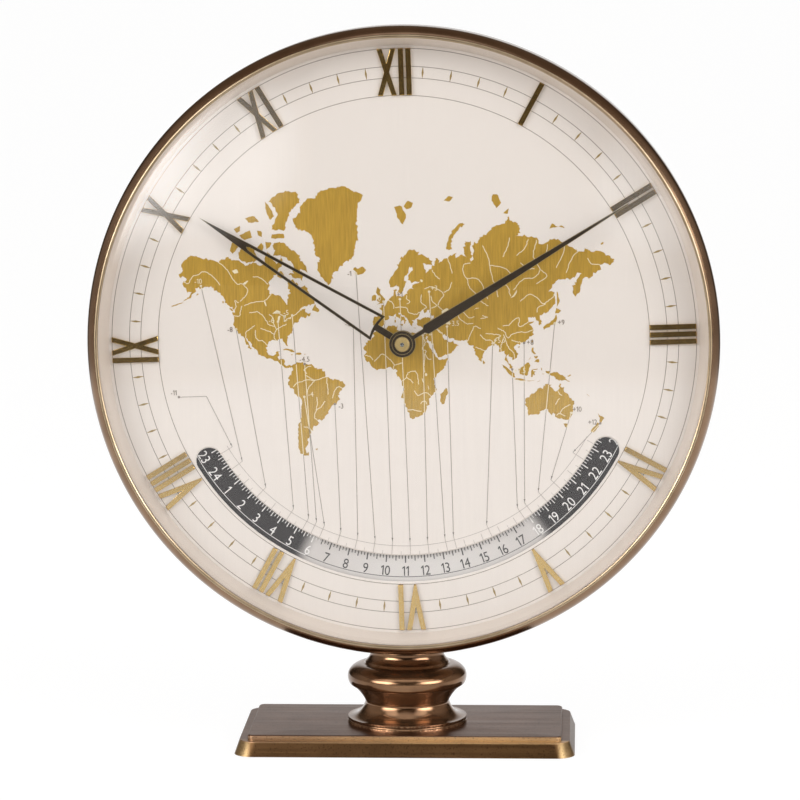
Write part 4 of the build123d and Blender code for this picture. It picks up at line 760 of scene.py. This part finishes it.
    "140.2 42 141.6 45.4 145.3 43.6 143.2 42 141 42.4",
    "142 46 142.2 50 141.9 53.4 142.8 54.2 143.4 51.5 144.4 49 143 47",
    "114.2 -22.5 113.5 -25.5 115.7 -31.8 115 -34.3 118 -35 123.5 -33.9 126 -32.2 131.2 -31.5 135 -34.6"
    " 137.8 -32.8 138.2 -35.6 140.5 -38 144.5 -38.3 146.3 -39 150 -37.4 152.8 -31.5 153.5 -28 152.5"
    " -24.8 149 -20.5 146 -18.8 145.3 -15 143.5 -14.2 142.5 -10.8 141.5 -13.5 140.8 -17.5 139 -17.3"
    " 135.5 -15 136.8 -12.2 132.6 -11.4 130.8 -12.5 129.5 -14.8 126.8 -14 123.6 -16.3 122.2 -18 119 -20",
    "144.7 -40.8 148.2 -40.9 147.8 -43.2 146 -43.4",
    "172.8 -34.5 175 -36.6 178.4 -37.7 177 -39.4 175.2 -41.6 173.8 -39.4 174.7 -38",
    "172.7 -40.6 174.3 -41.6 172.8 -43.8 170.6 -46 168.4 -46.6 166.6 -46 168.2 -44.2 171 -42.5",
    "164 -20.2 167 -22.2 165 -21.3",
]
lakes = [
    "47.5 45.5 51 47 53 46.7 53 45 50.5 44.4 51 42 53 41.5 53.8 39 53.8 37 50.5 37 49 39 50 40.5 48.5"
    " 42 47.5 43.5", "58.5 46 61.5 45.8 60 44 58.3 44.5", "-92 46.8 -88 48.7 -84.8 47.5 -87 46.6",
    "-87.8 42 -86.4 42.5 -85.2 45.6 -87.5 45", "-82.4 43.2 -83.5 45.3 -80.5 45.9 -81.5 43.8",
    "-83.2 41.8 -79 42.9 -81.5 41.7", "-79.6 43.4 -76.4 44 -77 43.3",
    "-124 66.2 -120 66.8 -118.5 65.5 -122 65.2", "-116.5 61.2 -112 62.5 -110.5 62.6 -113.5 61",
    "-98.5 52.8 -97.5 53.7 -96.5 51 -97 50.5", "32 0 34 0 33.5 -2.4 31.8 -2.2",
    "29.3 -3.5 30 -5 31 -8.5 30.3 -8 29.3 -5.5", "34 -9.6 35 -12 34.6 -14 34.2 -12",
    "30.5 61 32.5 61 32.5 60 31 60", "104 51.5 106.5 52.8 109.8 55.6 109.4 54 107 52",
    "73.8 45.5 75.5 46.7 79 46.6 75.5 46.2",
]
rivers = [
    "-164 62.6 -160 62.2 -157 64.6 -152 65.2 -147 66.3 -141 64.8 -137 63 -134.5 61",
    "-135 69 -130 67.5 -126 65.2 -121 61.8 -116 61.2 -111.5 58.8 -114 56 -118.5 53.5",
    "-124 46.2 -119.5 45.8 -118.5 48 -117 51.5", "-123 49.2 -121.7 51.5 -122.5 54 -119.5 53",
    "-92.5 57 -97.5 53.7 -104 53.3 -110 52.5 -115 51.5",
    "-66.5 50 -71 47 -74 45.4 -79 43.8 -82.5 42.3 -82.5 45 -85 46 -88.5 47.5",
    "-89.4 29.2 -91.3 31.5 -90.5 35 -89.3 37 -91.2 40.5 -91.3 43.5 -94.5 46.5",
    "-90.3 38.8 -95 40 -97.5 43 -101 46.5 -105 48 -111 47.5", "-89.3 37 -85 38.7 -80.5 40.5",
    "-91 33.8 -96 36 -102 38", "-97.3 26 -101 29.5 -104.5 29.8 -106.6 33 -106.5 37",
    "-114.7 31.8 -114.4 35.5 -110.5 37.8 -107 40", "-94.5 60.9 -101 63.5 -107 64",
    "-50 -0.3 -54.5 -2.2 -60 -3.2 -66 -2.6 -70 -4 -73.5 -4.6 -77 -8",
    "-59 -3.4 -62 -6.5 -65 -10.5 -66 -14.5", "-60 -3.2 -63 -1 -67 1.5",
    "-61.5 8.7 -65.5 7.5 -67.5 5.5 -65.5 2.5", "-49 -1.5 -49 -6 -48.4 -11 -48.5 -15",
    "-36.5 -10.4 -39.8 -9 -43 -12.5 -45 -18", "-58.5 -34 -60.5 -32 -58.7 -27.4 -54.5 -24.5 -51 -20",
    "-58.7 -27.4 -57.7 -22.5 -57.8 -17", "-62.8 -41 -66 -39 -69.5 -38.5",
    "31.2 31.2 31.2 29.5 32.7 26 32.7 23.5 30.6 20 33.5 18 32.5 15.6 32 10 31.3 5 32 1",
    "32.5 15.6 35 11.8 37.3 11.6", "6 4.5 6.7 7.8 4.5 11 0.5 15 -3 16.8 -6 14 -9.5 11",
    "6.7 7.8 9.5 8 13.5 9.3", "12.4 -6 15.5 -4.2 18 0.5 22 2 25.3 0.5 26 -4 26.5 -9",
    "16.5 -3 20 -5 22 -8", "36.2 -18.7 33 -16 29 -16.5 25.5 -17.9 22.8 -14",
    "16.6 -28.6 20 -28.6 24.5 -29.5 28 -30", "-16.4 16 -12.5 15 -10.5 12", "32.8 -25 31 -22.3 27.5 -24",
    "29.5 45.2 26 44 22.5 44.6 20.3 45.2 18.9 47.7 14.5 48.3 9.5 48.2", "4.3 52 7 51 8.3 49 8 47.5",
    "18.9 54.3 19 52.6 21.5 51 19 49.8", "32.5 46.6 35 48 31 50.5 31 54.5",
    "39.3 47.2 43.5 48.6 40 51 39 53.7", "48 46 44.8 48.6 46.5 51.5 49.5 54 46 56.2 40 57.8 34 57",
    "49.5 55.2 54 56.5 56.3 59.5", "40.5 64.6 43 62.5 46.5 61", "53.5 68.3 55.5 66 57 63",
    "72 66.5 66.8 66 66 63.5 69 61 76 61 81 58.5 84 54 85.5 51.5",
    "69 61 70.5 57.5 75 54.5 80 50 86 47.5", "82.5 71.5 86.5 68.5 88 65.5 90 60.5 92.8 56 94 52",
    "88 65.5 100 64.5 107 61", "92.5 58.3 101 57.5 104.5 52.5", "105 73.3 103 71 99 68",
    "120 72.8 117 70.5 110 68.5", "127 72.5 124 68 129 63.5 124 60.5 115 60 107 55.5",
    "129.5 63.4 134.5 60.8 125.5 58", "124.5 64 119 64 113 66", "136 71.3 133.5 67.5",
    "150 71 147.5 68 142 64", "161 69.3 155 67 150.5 62", "177.5 64.7 171 65.2 168 67",
    "141 53 137 50.3 130.5 48 126.5 51 119.5 53 112 49.5", "132.5 47.7 126.5 45.8 125.5 43",
    "119 37.7 114 35 110.4 34.7 110.5 40 105.5 38 102 35.5 97 35",
    "121.5 31.7 116 29.9 111 30.5 104.5 28.7 101 26.5 98 31 93 33.7", "113.5 22.4 108.5 23.3 104 24.8",
    "106.4 9.8 105.5 14.5 102 18.2 100 22 97.5 29", "95.2 16.2 95.3 20.5 97 25.5",
    "90 22.3 87 25 82 25.8 78.3 29.5", "90 23.5 91 26.2 95.3 28.2 89 29.4 83 30.2",
    "67.6 24.3 69.5 28.2 72 32.5 74.5 35.5 79 33.5", "48 30.3 44.5 33.2 42 36.5 40 38",
    "47 31 42 34.3 38.5 36.5 38.5 39", "59.5 43.8 63.5 39.5 68 37.2 73 37.2",
    "61 46 66 44 69.5 40.8 74 41.5", "82 16.7 78 18.8 74.5 20", "80.3 42 85 41 79 40",
    "139 -35.5 142 -34.2 146.5 -36", "142 -34.2 143.5 -31.5 148 -29 151 -28",
    "141 -17.6 142.5 -20 144 -21", "138.5 -28 140 -25.5 142 -23",
]


# Pairs of longitude and latitude on the dial: even degrees across, logarithm of the tangent upwards
def onMap(text):
    east, north = np.array(text.split(), float).reshape(-1, 2).T
    rise = np.log(np.tan(np.pi / 4 + np.radians(north) / 2))
    across = mapForm["scale"] * (east - mapForm["middle"])
    return np.stack([across, mapForm["stretch"] * rise - mapForm["drop"]], axis=1)


# A coast walked in even steps, each point moved a little by a seeded draw, less on short coasts
def crinkled(shape, step, amount, draw, fewest=6, longCoast=40):
    closed = np.concatenate([shape, shape[:1]])
    walked = np.concatenate([[0], np.cumsum(np.linalg.norm(np.diff(closed, axis=0), axis=1))])
    stops = np.linspace(0, walked[-1], max(fewest, int(walked[-1] / step)), endpoint=False)
    even = np.stack([np.interp(stops, walked, closed[:, k]) for k in (0, 1)], axis=1)
    return even + draw.normal(0, amount, even.shape) * min(1.0, walked[-1] / longCoast)


# A smooth curve through a river's points: each stretch is the cubic that leaves along its neighbours' line
def flowing(line, perStretch=6):
    ends = np.concatenate([2 * line[:1] - line[1:2], line, 2 * line[-1:] - line[-2:-1]])
    a, b, c, d = (p[:, None, :] for p in (ends[:-3], ends[1:-2], ends[2:-1], ends[3:]))
    t = np.linspace(0, 1, perStretch, endpoint=False)[None, :, None]
    curve = 0.5 * (2 * b + (c - a) * t + (2 * a - 5 * b + 4 * c - d) * t**2 + (3 * b - a - 3 * c + d) * t**3)
    return np.concatenate([curve.reshape(-1, 2), line[-1:]])


# A closed outline as one flat part of triangles that face the front
def flatShape(points, mark=0):
    outline = [list(range(len(points)))]
    corners, _, faces, *_ = delaunay_2d_cdt([Vector(p) for p in points], [], outline, 1, 1e-5)
    return np.array([tuple(c) for c in corners]), faces, mark


draw = np.random.default_rng(mapForm["seed"])
coasts = [crinkled(onMap(text), mapForm["step"], mapForm["crinkle"], draw) for text in land]
printPiece("worldMap", [flatShape(c) for c in coasts], 1, [goldLand])
waters = [flatShape(crinkled(onMap(text), mapForm["step"], mapForm["shore"], draw)) for text in lakes]
courses = [flowing(onMap(text)) for text in rivers]
courses = [course + draw.normal(0, mapForm["meander"], course.shape) for course in courses]
waters += [penLine(course, mapForm["river"]) for course in courses]
printPiece("mapWaters", waters, 2, [creamInk])
print("world map made:", len(coasts), "coasts,", len(courses), "rivers")


# Which points lie on land: an odd number of a coast's edges crosses the line to the right of a point
def onLand(points):
    inside = np.zeros(len(points), bool)
    x, z = points[:, :1], points[:, 1:]
    for coast in coasts:
        x1, z1 = coast.T
        x2, z2 = np.roll(coast, -1, axis=0).T
        crosses = ((z1 > z) != (z2 > z)) & (x < (x2 - x1) * (z - z1) / (z2 - z1 + 1e-12) + x1)
        inside ^= crosses.sum(axis=1) % 2 == 1
    return inside


# Zone leaders: a town's longitude and latitude, its hours from Greenwich, and where its figure stands;
# one leader has a bend
leaders = {"sea": 0.2, "land": 0.3, "dot": 0.5, "dotSides": 14, "figure": 2.0, "narrow": 0.9, "steps": 150,
           "arrow": (1.5, 0.3), "bends": {-11: (11, 0)}}
towns = [
    (-172, -14, -11, -2, 1.8), (-150, 61, -10, -1, 1.9), (-122.4, 37.8, -8, -2.4, 0),
    (-87.6, 41.9, -6, -2.6, 0.6), (-75.7, 45.4, -5, -2.4, 1.2), (-66.9, 10.5, -4.5, 0, 1.9),
    (-68.2, -16.5, -4, 2.6, 1), (-43.2, -22.9, -3, 2.4, -0.8), (-25.7, 37.7, -2, -2.2, 1),
    (-22, 64.1, -1, -2.6, 0), (-0.1, 51.5, 0, -1.6, 1.4), (13.4, 52.5, 1, 0, 1.8), (31.2, 30, 2, 2.2, 1),
    (37.6, 55.7, 3, 2, 1.4), (51.4, 35.7, 3.5, 2.6, 1.2), (88.4, 22.6, 5.5, 2.8, 1.2),
    (103.8, 1.3, 7.5, 3, -0.6), (114.2, 22.3, 8, 2.4, 0.2), (139.7, 35.7, 9, 2.6, 0.4),
    (151.2, -33.9, 10, 2.4, 1.4), (174.8, -41.3, 12, -3, 0.6),
]
around = np.linspace(0, 2 * np.pi, leaders["dotSides"], endpoint=False)
disc = leaders["dot"] * np.stack([np.cos(around), np.sin(around)], axis=1)
lines, arrows, dots, figures = [], [], [], []
for east, north, zone, aside, above in towns:
    start = onMap(f"{east} {north}")[0]
    angle = dial["hour"] * (zone - 1)
    tip = fromBelow(zoneScale["arrow"], angle)
    bend = [start, start + leaders["bends"][zone], tip] if zone in leaders["bends"] else [start, tip]
    walk = np.concatenate([np.linspace(p, q, leaders["steps"]) for p, q in zip(bend[:-1], bend[1:])])
    walk = walk[np.concatenate([[True], np.linalg.norm(np.diff(walk, axis=0), axis=1) > 1e-9])]
    dry = onLand(walk)
    change = np.flatnonzero(np.diff(dry.astype(int))) + 1
    for run in np.split(np.arange(len(walk)), change):
        run = np.append(run, run[-1] + 1)[: len(walk) - run[0]]
        if len(run) > 1:
            ashore = dry[run[0]]
            lines.append(penLine(walk[run], leaders["land"] if ashore else leaders["sea"], int(ashore)))
    along = (tip - bend[-2]) / np.linalg.norm(tip - bend[-2])
    foot = tip - leaders["arrow"][0] * along
    side = leaders["arrow"][1] * np.array([-along[1], along[0]])
    arrows.append((np.array([tip, foot + side, foot - side]), np.array([[0, 1, 2]]), 0))
    dots.append((start + disc, np.arange(len(disc))[None], int(onLand(start[None])[0])))
    shape, cells = figureShape(f"{zone:+g}" if zone else "0")
    place = start + np.array([aside, above])
    tone = int(onLand(place[None])[0])
    figures.append((place + leaders["figure"] * shape * (leaders["narrow"], 1), cells, tone))
    lines.append(penTicks([angle], zoneScale["arrow"], zoneScale["edge"], leaders["sea"], 2))
printPiece("zoneLeaders", lines + dots, 3, [leaderInk, creamInk, paleInk])
printPiece("zoneArrows", arrows, 2, [darkInk])
printPiece("zoneFigures", figures, 4, [greyInk, creamInk])
print("zone leaders made:", len(towns))


# Stage: floor, two soft boxes and the room that mirrors see, dark in front, pale behind and at the sides,
# with glows low above the floor and skylights; the spans are parts of a direction of length one
stage = {"boxAzimuth": 50, "boxElevation": 29, "boxDistance": 1.5, "boxSize": (0.8, 0.9), "boxPower": 9.0,
         "boxAim": (0, 0, 0.15), "world": 0.45, "front": 0.03, "ceiling": 0.2, "sides": 0.38,
         "backdrop": 0.85, "floorNear": 0.6, "floorFar": 1.15, "floorHalf": 60, "paper": 0.88,
         "paperLevel": 1.06, "ceilingSpan": (0.2, 0.8), "backSpan": (0.85, 0.99), "sideSpan": (0.6, 0.95),
         "glowBottom": (0.0, 0.12), "glowTop": (0.52, 0.3), "dimSpan": (0.15, 0.6),
         "dim": (1, 0.74, 0.52, 1)}
white = (1, 1, 1, 1)
# azimuth, elevation and reach in degrees, level
glows = [(-48, 17, 26, 11.0), (52, 17, 26, 11.0), (-24, 14, 12, 1.8), (27, 9, 11, 1.4)]
skylights = [(0, 56, 30, 1.1), (-44, 36, 20, 2.2), (44, 36, 20, 2.2)]


# The direction from the object outwards, azimuth counted from the front to the right
def outward(azimuth, elevation):
    a, e = math.radians(azimuth), math.radians(elevation)
    return Vector((math.sin(a) * math.cos(e), -math.cos(a) * math.cos(e), math.sin(e)))


def placeLamp(name, azimuth, elevation):
    lamp = bpy.data.lights.new(name, "AREA")
    lamp.shape = "RECTANGLE"
    lamp.size, lamp.size_y = stage["boxSize"]
    lamp.energy = stage["boxPower"]
    back = outward(azimuth, elevation)
    obj = bpy.data.objects.new(name, lamp)
    place = Vector(stage["boxAim"]) + back * stage["boxDistance"]
    obj.matrix_world = Matrix.Translation(place) @ back.to_track_quat("Z", "Y").to_matrix().to_4x4()
    obj.visible_glossy = obj.visible_transmission = False
    bpy.context.scene.collection.objects.link(obj)


placeLamp("softBoxLeft", -stage["boxAzimuth"], stage["boxElevation"])
placeLamp("softBoxRight", stage["boxAzimuth"], stage["boxElevation"])


def softRamp(tree, value, span, least=0.0, most=1.0):
    return ramp(tree, value, *span, least, most, "SMOOTHSTEP")


# What mirrors see of the room in one direction
def roomLevel(tree, towards):
    x, y, z = addNode(tree, "SeparateXYZ", {0: towards}).outputs
    level = softRamp(tree, z, stage["ceilingSpan"], stage["front"], stage["ceiling"])
    behind = softRamp(tree, y, stage["backSpan"], most=stage["backdrop"])
    sides = softRamp(tree, maths(tree, "ABSOLUTE", x), stage["sideSpan"], most=stage["sides"])
    level = maths(tree, "ADD", maths(tree, "ADD", level, behind), sides)
    bottom, top = softRamp(tree, z, stage["glowBottom"]), softRamp(tree, z, stage["glowTop"])
    low = maths(tree, "MULTIPLY", bottom, top)
    for light in glows + skylights:
        azimuth, elevation, reach, power = light
        dot = {"operation": "DOT_PRODUCT", 0: towards, 1: outward(azimuth, elevation)}
        facing = addNode(tree, "VectorMath", dot).outputs["Value"]
        glow = softRamp(tree, facing, (math.cos(math.radians(reach)), 1.0), most=power)
        glow = maths(tree, "MULTIPLY", glow, low) if light in glows else glow
        level = maths(tree, "ADD", level, glow)
    return level


# The dim parts of that room are brown, its lights white
def roomColour(tree, level):
    return blend(tree, ramp(tree, level, *stage["dimSpan"]), stage["dim"], white)


# One for what the camera sees, and one for what mirrors and glass see
def raysSeen(tree):
    path = addNode(tree, "LightPath").outputs
    return path["Is Camera Ray"], maths(tree, "MAXIMUM", path["Is Glossy Ray"], path["Is Transmission Ray"])


# White paper that keeps the object's shadow; far away mirrors see the room's level in it, so no horizon shows
def floorPaper():
    material, tree, shader = newMaterial("floorPaper", "#f4f2f0", {"Roughness": 0.9})
    direct, mirrored = raysSeen(tree)
    plain = maths(tree, "MULTIPLY", maths(tree, "MAXIMUM", direct, mirrored), stage["paper"])
    place = addNode(tree, "TexCoord").outputs["Object"]
    away = addNode(tree, "VectorMath", {"operation": "LENGTH", 0: place}).outputs["Value"]
    near = softRamp(tree, away, (stage["floorFar"], stage["floorNear"]))
    towards = addNode(tree, "VectorMath", {"operation": "NORMALIZE", 0: place}).outputs["Vector"]
    level = between(tree, near, roomLevel(tree, towards), 1.0)
    level = between(tree, mirrored, stage["paperLevel"], level)
    glow = addNode(tree, "Emission", {"Color": roomColour(tree, level), "Strength": level})
    mixSurface(tree, plain, shader, glow)
    return material


half = stage["floorHalf"]
mesh = bpy.data.meshes.new("floor")
corners = [(-half, -half, 0), (half, -half, 0), (half, half, 0), (-half, half, 0)]
mesh.from_pydata(corners, [], [(0, 1, 2, 3)])
mesh.materials.append(floorPaper())
floor = bpy.data.objects.new("floor", mesh)
bpy.context.scene.collection.objects.link(floor)


# White for the camera, the dim room with its lights for mirrors and glass, one even level for matt surfaces
def studioWorld():
    world = bpy.data.worlds.new("studio")
    world.use_nodes = True
    tree = world.node_tree
    direct, mirrored = raysSeen(tree)
    room = roomLevel(tree, addNode(tree, "TexCoord").outputs["Generated"])
    level = between(tree, direct, between(tree, mirrored, stage["world"], room), 1.0)
    colour = blend(tree, mirrored, white, roomColour(tree, level))
    feed(tree, tree.nodes["Background"], {"Color": colour, "Strength": level})
    return world


bpy.context.scene.world = studioWorld()

# Camera, from a fit to the dial's circles, the foot ring and the base's corners; millimetres, degrees, the
# roll in radians, the clip in metres
shot = {"azimuth": 2.731, "elevation": 7.471, "target": (-2.37, 0, 139.137), "distance": 1562.1,
        "lens": 174.9, "sensor": 36, "roll": -0.005, "clip": (0.1, 100)}
back = outward(shot["azimuth"], shot["elevation"])
right = Vector((-back.y, back.x, 0)).normalized()
up = back.cross(right)
c, s = math.cos(shot["roll"]), math.sin(shot["roll"])
right, up = c * right + s * up, c * up - s * right
lens = bpy.data.cameras.new("camera")
lens.lens, lens.sensor_width = shot["lens"], shot["sensor"]
lens.clip_start, lens.clip_end = shot["clip"]
camera = bpy.data.objects.new("camera", lens)
place = Matrix.Translation((Vector(shot["target"]) + back * shot["distance"]) * mm)
camera.matrix_world = place @ Matrix((right, up, back)).transposed().to_4x4()
bpy.context.scene.collection.objects.link(camera)
bpy.context.scene.camera = camera
bpy.context.scene.view_settings.view_transform = "Standard"
print("stage and camera set")
